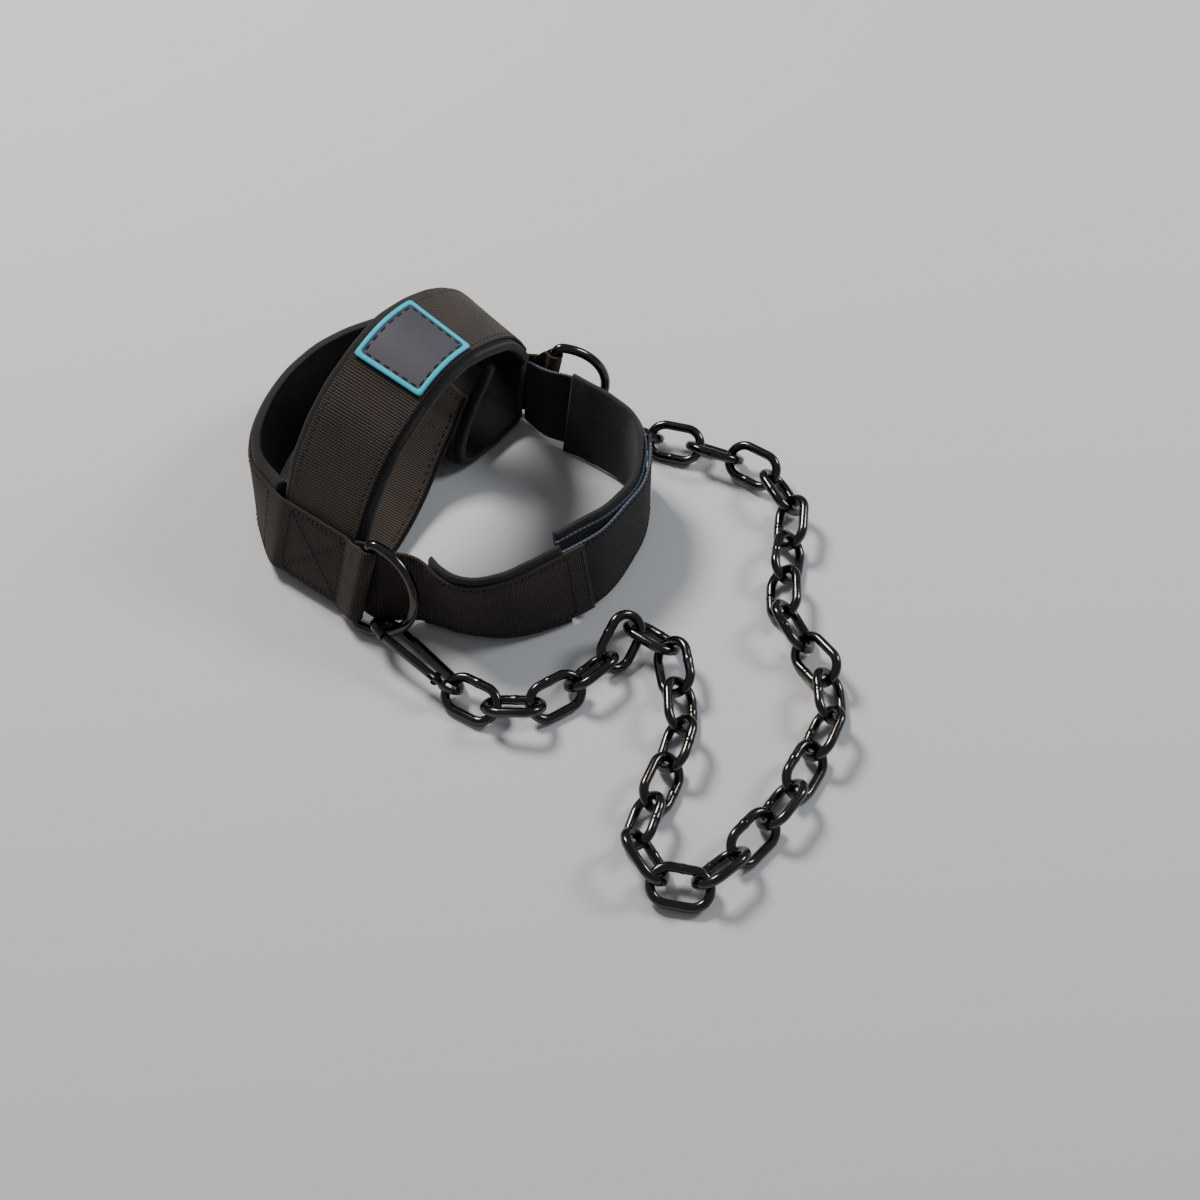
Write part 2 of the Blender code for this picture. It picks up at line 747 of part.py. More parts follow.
def pin_hole(hook):
    return rod(hook.pivot - hook.side * HOOK_WIRE, hook.pivot + hook.side * HOOK_WIRE,
               PIN_RADIUS + GAP, PIN_SIDES)


def place_closed(name, bm, look, parent, origin):
    """Like make_object, with the origin at a chosen point."""
    bmesh.ops.recalc_face_normals(bm, faces=bm.faces)
    if bm.calc_volume(signed=True) < 0:
        bmesh.ops.reverse_faces(bm, faces=bm.faces)
    return place_mesh(name, bm, look, parent, origin)


class Chain:
    """Links laid along a route from one hook to the other, resting on the floor.

    The crowns of two linked links lie on either side of their joint. The route is drawn
    out or in until its length suits the links, and joints are raised until no link dips
    below the floor.
    """

    PASSES = 8
    BULGES = (0.8, 1.25)
    HALVINGS = 24
    STRIDES = (0.5 * LINK_PITCH, 1.6 * LINK_PITCH)
    LOOK_AHEAD = 4.0

    def __init__(self, start, start_along, end, end_along):
        self.crown = (LINK_WIDTH - LINK_WIRE) / 2
        self.straight = LINK_PITCH + LINK_WIRE - 2 * self.crown
        self.reach = (LINK_WIRE + LINK_PLAY) / 2
        self.start, self.start_along = start, start_along
        self.end, self.end_along = end, end_along
        self.raised = [0.0] * (LINK_COUNT + 1)
        for _ in range(self.PASSES):
            self.fit()
            dips = [0.0] * (LINK_COUNT + 1)
            for i in range(LINK_COUNT):
                for joint, height in zip((i, i + 1), self.lowest(i)):
                    dips[joint] = max(dips[joint], -height)
            for joint in range(1, LINK_COUNT):
                self.raised[joint] += dips[joint]
        self.fit()

    def fit(self):
        low, high = self.BULGES
        for _ in range(self.HALVINGS):
            bulge = (low + high) / 2
            if self.march(bulge) > 0:
                low = bulge
            else:
                high = bulge
        self.march(low)

    def route(self, bulge):
        span = self.end - self.start
        out = [self.start]
        for row in CHAIN_ROUTE:
            p = Vector(row)
            t = (p - self.start).dot(span) / span.length_squared
            base = self.start + span * t
            q = base + (p - base) * bulge
            out.append(Vector((q.x, q.y, p.z)))
        out.append(self.end)
        return out

    def centres(self, a, ta, b, tb, roll):
        """Crown centres and plane of a link between two joints of the chain."""
        x = (b - a).normalized()
        for _ in range(3):
            level = (Vector((0, 0, 1)) - x * x.z).normalized()
            side = x.cross(level)
            r = math.radians(roll)
            normal = level * math.cos(r) + side * math.sin(r)
            ua = (ta - normal * ta.dot(normal)).normalized()
            ub = (tb - normal * tb.dot(normal)).normalized()
            ca = a - ta * self.reach + ua * self.crown
            cb = b + tb * self.reach - ub * self.crown
            x = (cb - ca).normalized()
        normal = (normal - x * normal.dot(x)).normalized()
        return ca, cb, normal

    def march(self, bulge):
        """Lay the links along the route; returns how far the last one overshoots."""
        points = self.route(bulge)
        knots = [0.0]
        for a, b in zip(points, points[1:]):
            knots.append(knots[-1] + (b - a).length)
        far = knots[-1]

        def where(u):
            if u > far:
                return points[-1] + self.end_along * (u - far)
            return hermite(knots, points, u)

        def along(u):
            if u >= far - self.LOOK_AHEAD / 4:
                return self.end_along
            if u <= 0.0:
                return self.start_along
            after, before = min(far, u + self.LOOK_AHEAD), max(0.0, u - self.LOOK_AHEAD)
            return (where(after) - where(before)).normalized()

        self.links = []
        u = 0.0
        for i in range(LINK_COUNT):
            roll = link_roll(i + 1)
            a, ta = where(u), along(u)
            a.z += self.raised[i]
            low, high = (u + stride for stride in self.STRIDES)
            for _ in range(self.HALVINGS):
                mid = (low + high) / 2
                b = where(mid)
                b.z += self.raised[i + 1]
                ca, cb, normal = self.centres(a, ta, b, along(mid), roll)
                if (cb - ca).length < self.straight:
                    low = mid
                else:
                    high = mid
            self.links.append((ca, cb, normal))
            u = mid
            if u > far and i < LINK_COUNT - 1:
                return u - far + (LINK_COUNT - 1 - i) * LINK_PITCH
        return u - far

    def lowest(self, i):
        """Height over the floor of the lowest point at either end of a link."""
        ca, cb, normal = self.links[i]
        x = (cb - ca).normalized()
        dips = math.sqrt(max(0.0, 1.0 - normal.z ** 2))
        drop = self.crown * dips + LINK_WIRE / 2
        return ca.z - drop, cb.z - drop

    def link(self, i):
        ca, cb, normal = self.links[i]
        x = (cb - ca).normalized()
        y = normal.cross(x)
        middle = (ca + cb) / 2
        half = self.straight / 2
        line = arc(middle + x * half, self.crown, -90, 90, LINK_END_STEPS, x, y)
        line += arc(middle - x * half, self.crown, 90, 270, LINK_END_STEPS, x, y)
        return tube(line, LINK_WIRE / 2, LINK_SIDES, closed=True, up=normal)


def link_roll(number):
    """Roll of a numbered link. Links lie rolled to one side and to the other in turn."""
    return OTHER_ROLLS.get(number, LINK_ROLL if number % 2 else -LINK_ROLL)


def closing_paths(left, right):
    """Right part from its joint, and left part from its joint out over the right one."""
    start = right.at(PAD_EDGE - STRAP_UNDER, 0.0, BROW_LEVEL + GAP)
    rows = [(*start, *right.up)]
    rows += standing(CLOSING_RIGHT, PAD_WIDTH, LINING_THICK)
    right_path = Path(rows)

    level = BROW_LEVEL - PAD_THICK / 2
    rows = [left.row(PAD_EDGE + reach, level) for reach in STRAP_LEAVES]
    rows += standing(CLOSING_LEFT, PAD_WIDTH, LINING_THICK + WEB_THICK, inward=-1.0)
    stack = WEB_THICK + FASTENER_GAP + WEB_THICK + GAP + WEB_THICK
    for k in FASTENED_ROWS:
        s = right_path.marks[k + 1]
        _, _, across, _ = right_path.frame(s)
        rows.append((*right_path.at(s, 0.0, stack), *across))
    x, y, lean = HOOK_STRAP_END
    rows.append((x, y, PAD_WIDTH / 2, 0.0, 0.0, 1.0))
    left_path = Path(rows, outward=-1.0)
    return left_path, right_path


def build_brow(brow, parent):
    """Padded brow strap with its webbing and the patch on its crest."""
    middle = brow.marks[APEX_ROW] + PATCH_SHIFT
    half = PATCH_SIZE / 2
    web_from, web_to = BROW_WEB_START, brow.length - BROW_WEB_SHORT
    brow.cut_at(web_from, middle - half, middle + half, web_to)
    make_object("brow_pad", ply(brow, 0.0, brow.length, PAD_WIDTH, -PAD_THICK, -GAP / 2,
                                chamfer=PAD_CHAMFER), CLOTH_PAD, parent)
    make_object("brow_webbing", ply(brow, web_from, web_to, WEB_WIDTH, GAP / 2,
                                    GAP / 2 + WEB_THICK), BLACK_WEBBING, parent)
    base = GAP / 2 + WEB_THICK + GAP
    make_object("patch_base", ply(brow, middle - half, middle + half, PATCH_SIZE, base,
                                  base + PATCH_THICK), RUBBER, parent)
    make_object("patch_border", border(brow, middle, base + PATCH_THICK + BORDER_CLEAR),
                CYAN_RUBBER, parent)


def build_closing(left, right, parent):
    """Both parts of the closing strap, the left one fastened over the right one."""
    left_path, right_path = closing_paths(left, right)
    seam = left_path.marks[SEAM_ROW + len(STRAP_LEAVES)]
    tip = left_path.length
    under = -WEB_THICK - GAP
    left_path.cut_at(LINING_LEFT_START, seam - GAP, seam, seam + SEAM_LAP,
                     tip - HOOK_STRAP_TAPER, tip - HOOK_STRAP_TAPER / 2)
    make_object("closing_webbing_left", ply(left_path, 0.0, seam + SEAM_LAP, WEB_WIDTH,
                                            -WEB_THICK, 0.0), BLACK_WEBBING, parent)
    make_object("closing_lining_left", ply(left_path, LINING_LEFT_START, seam - GAP, LINING_WIDTH,
                                           under - LINING_THICK, under, chamfer=PAD_CHAMFER),
                CLOTH_PAD, parent)

    def taper(s):
        share = max(0.0, (s - tip + HOOK_STRAP_TAPER) / HOOK_STRAP_TAPER)
        return HOOK_STRAP_DROP * share ** 2

    make_object("hook_strap", ply(left_path, seam, tip, WEB_WIDTH, under - WEB_THICK, under,
                                  taper=taper), HOOK_CLOTH, parent)
    lining_end = right_path.length - LINING_RIGHT_SHORT
    right_path.cut_at(LINING_RIGHT_START, lining_end)
    make_object("closing_webbing_right", ply(right_path, 0.0, right_path.length, WEB_WIDTH,
                                             0.0, WEB_THICK), BLACK_WEBBING, parent)
    make_object("closing_lining_right", ply(right_path, LINING_RIGHT_START, lining_end,
                                            LINING_WIDTH, -GAP - LINING_THICK, -GAP,
                                            chamfer=PAD_CHAMFER), CLOTH_PAD, parent)


def build():
    clear_scene()
    root = bpy.data.objects.new("head_harness", None)
    bpy.context.collection.objects.link(root)

    brow = Path(BROW)
    left = Joint(brow, LEFT_JOINT_ROW, **LEFT_SIDE)
    right = Joint(brow, RIGHT_JOINT_ROW, **RIGHT_SIDE)
    build_brow(brow, root)

    rear = rear_path(left, right)
    pad_start = FOLD_START + PAD_EDGE + REAR_PAD_LEFT_CLEAR
    pad_end = rear.length - FOLD_START - PAD_EDGE - REAR_PAD_RIGHT_CLEAR
    rear.cut_at(pad_start, pad_end)
    make_object("rear_webbing", rear_webbing(rear, left, right), BLACK_WEBBING, root)
    make_object("rear_pad", ply(rear, pad_start, pad_end, PAD_WIDTH, *REAR_PAD,
                                chamfer=PAD_CHAMFER), CLOTH_PAD, root)

    limb = brow.marks[LIMB_ROW]
    lift = GAP / 2 + WEB_THICK + FASTENER_GAP + BACKING_THICK
    rows = list(CROWN)
    for reach in (CROWN_LAP_FROM, (CROWN_LAP_FROM + CROWN_LAP_TO) / 2, CROWN_LAP_TO):
        _, _, across, _ = brow.frame(limb + reach)
        rows.append((*brow.at(limb + reach, 0.0, lift), *across))
    crown = Path(rows)
    crown.cut_at(crown.length - BACKING_SHORT)
    make_object("crown_webbing", ply(crown, 0.0, crown.length, WEB_WIDTH, GAP, GAP + WEB_THICK),
                BLACK_WEBBING, root)
    make_object("crown_backing", ply(crown, 0.0, crown.length - BACKING_SHORT, WEB_WIDTH,
                                     -BACKING_THICK, 0.0, shift=BACKING_SHIFT), HOOK_CLOTH, root)

    build_closing(left, right, root)

    ends = []
    for prefix, joint, ring_swing, hold_angle, hold, heading, lean in (
            ("left", left, LEFT_RING_SWING, LEFT_HOLD_ANGLE, LEFT_HOOK_HOLD,
             LEFT_HOOK_HEADING, LEFT_HOOK_LEAN),
            ("right", right, RIGHT_RING_SWING, RIGHT_HOLD_ANGLE, RIGHT_HOOK_HOLD,
             RIGHT_HOOK_HEADING, RIGHT_HOOK_LEAN)):
        line, normal, held = ring_line(joint, ring_swing, hold_angle)
        make_object(prefix + "_ring", tube(line, RING_RADIUS, RING_SIDES, closed=True, up=normal),
                    BLACK_CHROME, root)
        hook = Hook(held, hold, heading, lean)
        build_hook(prefix, hook, root)
        ends.append(hook)

    chain = Chain(ends[0].seat(), ends[0].x, ends[1].seat(), -ends[1].x)
    for i in range(LINK_COUNT):
        make_object(f"link_{i + 1:02d}", chain.link(i), BLACK_CHROME, root)
    settle(root)


def border(path, middle, level):
    """Raised square frame on the patch, following the strap's curve."""
    outer = PATCH_SIZE / 2
    inner = outer - BORDER_WIDTH
    steps = 6
    corners = ((-1, -1), (1, -1), (1, 1), (-1, 1))
    rim = []
    for k in range(4):
        a, b = corners[k], corners[(k + 1) % 4]
        for i in range(steps):
            t = i / steps
            rim.append((a[0] + (b[0] - a[0]) * t, a[1] + (b[1] - a[1]) * t))
    bm = bmesh.new()
    rows = []
    for u, v in rim:
        ring = []
        for size, n in ((outer, 0.0), (inner, 0.0), (inner, BORDER_THICK), (outer, BORDER_THICK)):
            ring.append(bm.verts.new(path.at(middle + u * size, v * size, level + n)))
        rows.append(ring)
    for i in range(len(rows)):
        a, b = rows[i], rows[(i + 1) % len(rows)]
        for k in range(4):
            m = (k + 1) % 4
            bm.faces.new((a[k], a[m], b[m], b[k]))
    return bm


def settle(root):
    """Move the whole harness so that its box stands on the floor around the origin."""
    bpy.context.view_layer.update()
    corners = [obj.matrix_world @ v.co for obj in root.children for v in obj.data.vertices]
    lows = [min(c[k] for c in corners) for k in range(3)]
    highs = [max(c[k] for c in corners) for k in range(3)]
    root.location = (-(lows[0] + highs[0]) / 2, -(lows[1] + highs[1]) / 2, -lows[2])


build()
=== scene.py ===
"""Looks of the head harness: woven straps, foam, stitching, patch and black nickel metal.

Lengths are in millimetres in the harness's own drawing frame, and turned into metres in
the model's frame when a mesh is made.
"""

import math

import bmesh
import bpy
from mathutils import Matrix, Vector


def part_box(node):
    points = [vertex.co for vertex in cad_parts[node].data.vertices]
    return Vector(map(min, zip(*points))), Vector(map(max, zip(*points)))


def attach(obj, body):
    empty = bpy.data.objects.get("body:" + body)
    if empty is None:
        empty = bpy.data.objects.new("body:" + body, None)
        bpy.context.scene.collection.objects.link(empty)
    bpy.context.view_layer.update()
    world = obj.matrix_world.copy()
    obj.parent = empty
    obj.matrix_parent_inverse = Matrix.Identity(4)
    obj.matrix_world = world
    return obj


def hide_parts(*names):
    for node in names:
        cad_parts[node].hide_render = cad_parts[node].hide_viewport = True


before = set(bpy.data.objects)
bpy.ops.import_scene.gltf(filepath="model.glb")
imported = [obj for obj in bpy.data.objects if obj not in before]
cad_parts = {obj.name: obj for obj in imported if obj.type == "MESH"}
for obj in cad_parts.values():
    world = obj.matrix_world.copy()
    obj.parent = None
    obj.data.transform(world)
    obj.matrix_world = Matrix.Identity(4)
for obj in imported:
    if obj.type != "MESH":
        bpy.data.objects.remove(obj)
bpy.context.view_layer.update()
MM = 0.001
BODY = "harness"

# Webbing, padding and the clearance between two sewn plies
WEB_WIDTH = 50.0
WEB_THICK = 2.0
PAD_WIDTH = 60.0
PAD_THICK = 6.0
LINING_WIDTH = 58.0
LINING_THICK = 3.6
BACKING_THICK = 2.6
GAP = 0.3
FASTENER_GAP = 1.0
STRAP_LEAVES = (6.0, 14.0)
STRAP_UNDER = 1.5

# Patch on the brow strap
PATCH_SIZE = 47.0
PATCH_THICK = 1.6
BORDER_WIDTH = 3.0

# D-rings
RING_WIRE = 6.0
RING_DEPTH = 42.0
RING_OVER_WEB = 3.0
RING_CORNER = 4.5
RING_CORNER_STEPS = 3
RING_BOW_STEPS = 14

# Snap hooks
HOOK_WIRE = 6.0
HOOK_LENGTH = 72.0
HOOK_EYE_RADIUS = 8.2
PIVOT_BACK = 3.0

# Chain
LINK_COUNT = 28
LINK_WIRE = 5.6
LINK_PITCH = 27.2
LINK_WIDTH = 25.5
LINK_PLAY = 0.95
LINK_ROLL = 45.0
OTHER_ROLLS = {1: 31.0, 2: -36.0, 6: -38.0, 7: 38.0, 12: -48.0, 13: 22.0, 14: -48.0, 28: -36.0}

# Brow strap, middle of its width where webbing meets pad. It stands up at the left
# joint, arches over, comes down at the right joint and turns back in under itself.
# Columns: x, y, z, then the direction across the strap, towards its front edge.
BROW = (
    (-171.2, 6.9, 3.4, 0.81, -0.58, -0.05),
    (-165.5, 13.5, 28.0, 0.81, -0.58, -0.05),
    (-158.8, 21.2, 57.0, 0.81, -0.58, -0.05),
    (-150.5, 34.5, 80.0, 0.83, -0.54, -0.11),
    (-134.0, 56.0, 105.0, 0.83, -0.53, -0.16),
    (-105.0, 94.0, 121.0, 0.79, -0.58, -0.19),
    (-76.0, 136.0, 101.0, 0.75, -0.64, -0.16),
    (-63.8, 160.5, 66.0, 0.67, -0.73, -0.05),
    (-64.4, 162.4, 50.0, 0.65, -0.75, -0.01),
    (-66.0, 162.3, 31.0, 0.64, -0.76, 0.00),
    (-67.4, 161.6, 17.0, 0.65, -0.76, 0.00),
    (-70.3, 157.8, 7.0, 0.66, -0.75, 0.00),
    (-78.0, 149.5, 3.4, 0.68, -0.73, 0.00),
    (-90.0, 135.5, 3.0, 0.70, -0.71, 0.00),
    (-100.5, 123.5, 4.0, 0.72, -0.69, 0.00),
    (-106.8, 118.0, 9.5, 0.71, -0.70, 0.00),
    (-107.6, 118.8, 19.0, 0.70, -0.71, 0.00),
    (-105.0, 122.0, 32.0, 0.70, -0.71, 0.00),
    (-99.0, 128.0, 48.0, 0.70, -0.71, 0.00),
    (-90.5, 134.0, 68.0, 0.70, -0.71, 0.00),
    (-86.0, 136.5, 80.0, 0.70, -0.71, 0.00),
)
LEFT_JOINT_ROW = 1
RIGHT_JOINT_ROW = 9
APEX_ROW = 5
LIMB_ROW = 18
PATCH_SHIFT = -4.0
BROW_WEB_START = 5.0
BROW_WEB_SHORT = 2.0

# Crown strap, from inside the left joint to the turned-in end of the brow strap.
# Columns as above.
CROWN = (
    (-150.0, 37.0, 7.0, 0.83, -0.55, -0.04),
    (-142.0, 52.0, 8.5, 0.84, -0.53, -0.04),
    (-132.0, 75.0, 12.0, 0.83, -0.54, -0.04),
    (-121.5, 99.0, 21.0, 0.78, -0.62, -0.02),
)
CROWN_LAP_FROM = -14.0
CROWN_LAP_TO = 12.0
BACKING_SHORT = 1.5
BACKING_SHIFT = 1.2

# Rear headband between the two joints, outer face at half height.
# Columns: x, y, lean of the top edge towards the head in degrees.
REAR = (
    (-202.0, 45.0, 10.0), (-208.5, 61.0, 3.0), (-209.5, 80.0, 0.0), (-207.0, 99.0, 0.0),
    (-201.0, 118.0, 0.0), (-191.0, 137.0, 0.0), (-178.0, 153.0, 0.0), (-162.0, 166.0, 0.0),
    (-143.0, 176.0, 0.0), (-122.0, 183.0, -2.0), (-102.0, 188.0, -4.0),
)

# Closing strap, left part, outer face at half height. Columns as in REAR.
CLOSING_LEFT = (
    (-108.0, -14.5, 11.0), (-95.0, -22.5, 1.0), (-83.0, -29.0, -3.0), (-68.0, -31.5, -2.0),
    (-52.0, -29.5, 3.0), (-38.0, -24.0, 8.0), (-23.0, -16.0, 12.0), (-6.0, -5.5, 13.0),
    (7.0, 6.0, 10.0),
)

# Closing strap, right part, where its webbing meets its lining, from the right joint
# round to its free end inside the left part. Columns as in REAR.
CLOSING_RIGHT = (
    (-33.2, 129.4, -12.0), (-20.0, 124.5, -15.0), (-7.0, 116.5, -12.0), (6.0, 107.0, -11.0),
    (18.0, 95.0, -8.0), (25.0, 80.0, -2.0), (25.5, 62.0, 0.0), (22.0, 44.5, 2.0),
    (14.0, 29.5, 6.0), (4.0, 18.0, 8.0), (-9.5, 9.0, 8.0), (-24.5, -1.5, 8.0),
)
FASTENED_ROWS = (8, 7, 6)
LINING_LEFT_START = 36.0
LINING_RIGHT_START = 34.0
LINING_RIGHT_SHORT = 2.0
SEAM_ROW = 7
SEAM_LAP = 14.0
HOOK_STRAP_END = (33.5, 88.0)
HOOK_STRAP_TAPER = 16.0
HOOK_STRAP_DROP = 6.0

# Each D-ring's bar beside its joint: how far along and how far out it lies, how far its
# fold leans out and is lifted, and how far the ring swings out of the strap's plane.
# Each hook hangs on the ring's bow at an angle from its middle, points along the floor
# with a heading, and leans over from upright.
LEFT_SIDE = {"bar_at": 36.5, "bar_level": 1.2, "fold_lean": -2.0, "fold_lift": 2.0}
LEFT_RING_SWING = -6.0
LEFT_HOLD_ANGLE = -48.0
LEFT_HOOK_HEADING = -47.0
LEFT_HOOK_LEAN = 46.0
LEFT_HOOK_HOLD = 13.0
RIGHT_SIDE = {"bar_at": 36.5, "bar_level": 7.5, "fold_lean": 8.0, "fold_lift": 7.5}
RIGHT_RING_SWING = 52.0
RIGHT_HOLD_ANGLE = -46.0
RIGHT_HOOK_HEADING = -24.0
RIGHT_HOOK_LEAN = 45.0
RIGHT_HOOK_HOLD = 16.0

# Route of the chain between the two hooks: x, y, and the height of its joints.
CHAIN_LEVEL = 9.8
CHAIN_ROUTE = (
    (-67.0, -80.0), (-42.0, -84.0), (-17.0, -70.0), (6.5, -47.0), (22.0, -30.0),
    (40.0, -45.0), (45.5, -74.0), (46.0, -97.0), (38.0, -124.0), (27.0, -149.0),
    (19.0, -172.0), (31.0, -191.0), (51.0, -196.0), (69.0, -182.0), (88.0, -162.0),
    (104.0, -141.0), (119.0, -115.0), (130.0, -90.0), (131.0, -64.0), (118.0, -39.0),
    (108.0, -16.0), (110.0, 10.0), (115.0, 37.0), (116.0, 64.0), (103.0, 88.0),
    (81.0, 103.0), (56.0, 112.0),
)


class Path:
    """A smooth line with a direction across it, measured by its length.

    Every ply on the path shares the same stations, so that plies at different levels
    keep their clearance where the path bends.
    """

    FINE_STEP = 1.0
    SHORTEST_STEP = 1.5
    LONGEST_STEP = 10.0
    LARGEST_TURN = math.radians(14.0)

    def __init__(self, rows, outward=1.0):
        points = [Vector(row[:3]) for row in rows]
        across = [Vector(row[3:6]).normalized() for row in rows]
        knots = [0.0]
        for a, b in zip(points, points[1:]):
            knots.append(knots[-1] + (b - a).length)
        count = max(8, int(knots[-1] / self.FINE_STEP))
        fine = [hermite(knots, points, knots[-1] * i / count) for i in range(count + 1)]
        wide = [hermite(knots, across, knots[-1] * i / count) for i in range(count + 1)]
        lengths = [0.0]
        for a, b in zip(fine, fine[1:]):
            lengths.append(lengths[-1] + (b - a).length)
        self.length = lengths[-1]
        self.marks = [m * self.length / knots[-1] for m in knots]
        self.frames = []
        for i, point in enumerate(fine):
            along = (fine[min(count, i + 1)] - fine[max(0, i - 1)]).normalized()
            side = (wide[i] - along * wide[i].dot(along)).normalized()
            self.frames.append((lengths[i], point, along, side, side.cross(along) * outward))
        self.choose_stations()

    def choose_stations(self):
        """Stations that lie closer together where the path bends."""
        self.grid = self.frames[:1]
        for here, after in zip(self.frames, self.frames[1:]):
            last = self.grid[-1]
            if last[0] + self.SHORTEST_STEP < here[0] < self.length - self.SHORTEST_STEP:
                far = after[0] - last[0] > self.LONGEST_STEP
                turn = max(after[2].angle(last[2]), after[3].angle(last[3]))
                if far or turn > self.LARGEST_TURN:
                    self.grid.append(here)
        self.grid.append(self.frames[-1])

    @staticmethod
    def span(frames, s):
        """The two frames on either side of length s, and the share between them."""
        i = 0
        while i < len(frames) - 2 and frames[i + 1][0] < s:
            i += 1
        a, b = frames[i], frames[i + 1]
        return a, b, (s - a[0]) / (b[0] - a[0])

    def at(self, s, w, n):
        """The point at length s, w across the strap and n outward, between two stations."""
        a, b, t = self.span(self.grid, s)
        start = a[1] + a[3] * w + a[4] * n
        end = b[1] + b[3] * w + b[4] * n
        return start + (end - start) * t

    def frame(self, s):
        """Point, direction along, direction across and direction outward at length s."""
        a, b, t = self.span(self.frames, s)
        return a[1].lerp(b[1], t), *(a[k].lerp(b[k], t).normalized() for k in (2, 3, 4))


def hermite(knots, values, u):
    """Smooth value at u through the values at the knots."""
    i = 0
    while i < len(knots) - 2 and knots[i + 1] < u:
        i += 1
    span = knots[i + 1] - knots[i]
    t = (u - knots[i]) / span

    def slope(k):
        a = max(0, k - 1)
        b = min(len(knots) - 1, k + 1)
        return (values[b] - values[a]) / (knots[b] - knots[a])

    m0 = slope(i) * span
    m1 = slope(i + 1) * span
    t2 = t * t
    t3 = t2 * t
    return (values[i] * (2 * t3 - 3 * t2 + 1) + m0 * (t3 - 2 * t2 + t)
            + values[i + 1] * (3 * t2 - 2 * t3) + m1 * (t3 - t2))


def standing(rows, height, depth, inward=1.0):
    """Rows of a strap that stands on its lower edge, given as x, y and lean.

    depth is how far its plies reach towards the head from the line. inward is 1 where the
    head is on the right of the line, and -1 where it is on the left.
    """
    out = []
    for i, (x, y, lean) in enumerate(rows):
        a = Vector(rows[max(0, i - 1)][:2])
        b = Vector(rows[min(len(rows) - 1, i + 1)][:2])
        along = (b - a).normalized()
        tilt = math.radians(lean)
        head = Vector((along.y, -along.x)) * (inward * math.sin(tilt))
        across = Vector((head.x, head.y, math.cos(tilt)))
        rise = height / 2 * math.cos(tilt) + depth * max(0.0, math.sin(tilt))
        out.append((x, y, rise, *across))
    return out


def arc(centre, radius, start, end, steps, u, v):
    """Points of an arc in the plane of u and v, angles in degrees."""
    out = []
    for i in range(steps + 1):
        a = math.radians(start + (end - start) * i / steps)
        out.append(centre + u * (radius * math.cos(a)) + v * (radius * math.sin(a)))
    return out


# Levels of the plies at a side joint, measured outward from the joint's own surface,
# which is the outer face of the rear strap's webbing
BROW_LEVEL = -2 * WEB_THICK - 2.5 * GAP
REAR_PAD = (-WEB_THICK - GAP - PAD_THICK, -WEB_THICK - GAP)
PAD_EDGE = PAD_WIDTH / 2
REAR_PAD_LEFT_CLEAR = 6.0
REAR_PAD_RIGHT_CLEAR = 13.0
RING_RADIUS = RING_WIRE / 2
LOOP_RADIUS = RING_RADIUS + GAP + WEB_THICK / 2
FOLD_START = 19.0
FOLD_WRAP = 115.0
FOLD_STEPS = 8
FOLD_FOLLOWS = 0.6
JOINT_REACH = (FOLD_START, 8.0, -7.0, -20.0, -29.0)


class Joint:
    """A side joint, where the brow strap, headband and closing strap are sewn together.

    s runs along the headband towards the ring, w up the strap and n outward. The fold
    that holds the ring may lean outward, be lifted and stand off by its own amounts.
    """

    def __init__(self, brow, row, bar_at, bar_level, fold_lean, fold_lift):
        point, along, across, out = brow.frame(brow.marks[row])
        self.up = along if along.z > 0 else -along
        self.along = across
        self.out = out
        rise = PAD_WIDTH / 2 - point.z
        middle = point + self.up * (rise / self.up.z)
        bulge = 0.0
        self.clear = WEB_WIDTH / 2
        for _, p, _, side, normal in brow.frames:
            for w in (-WEB_WIDTH / 2, WEB_WIDTH / 2):
                corner = p + side * w + normal * WEB_THICK - middle
                if abs(corner.dot(self.up)) < PAD_WIDTH / 2 and corner.dot(out) > -PAD_THICK:
                    bulge = max(bulge, corner.dot(out) - WEB_THICK)
                    self.clear = max(self.clear, corner.dot(across))
        self.clear += 2 * GAP
        self.centre = middle - out * (BROW_LEVEL - bulge)
        self.fold_lean = math.radians(fold_lean)
        self.fold_lift = fold_lift
        self.bar_at = bar_at
        self.bar_level = bar_level

    def at(self, s, w, n):
        return self.centre + self.along * s + self.up * w + self.out * n

    def fold_axes(self, share):
        lean = self.fold_lean * share
        up = self.up * math.cos(lean) + self.out * math.sin(lean)
        out = self.out * math.cos(lean) - self.up * math.sin(lean)
        return up, out, self.centre + self.up * (self.fold_lift * share)

    def fold_at(self, s, w, n):
        full = self.bar_at - LOOP_RADIUS - GAP
        share = min(max((s - self.clear) / (full - self.clear), 0.0), 1.0)
        up, out, centre = self.fold_axes(share)
        return centre + self.along * s + up * w + out * n

    def row(self, s, n):
        return (*self.at(s, 0.0, n), *self.up)


def rear_path(left, right):
    """Headband from beside the left joint's ring, round the back, to the right one."""
    rows = [left.row(s, 0.0) for s in JOINT_REACH]
    rows += standing(REAR, PAD_WIDTH, -REAR_PAD[0])
    rows += [right.row(s, 0.0) for s in reversed(JOINT_REACH)]
    return Path(rows)


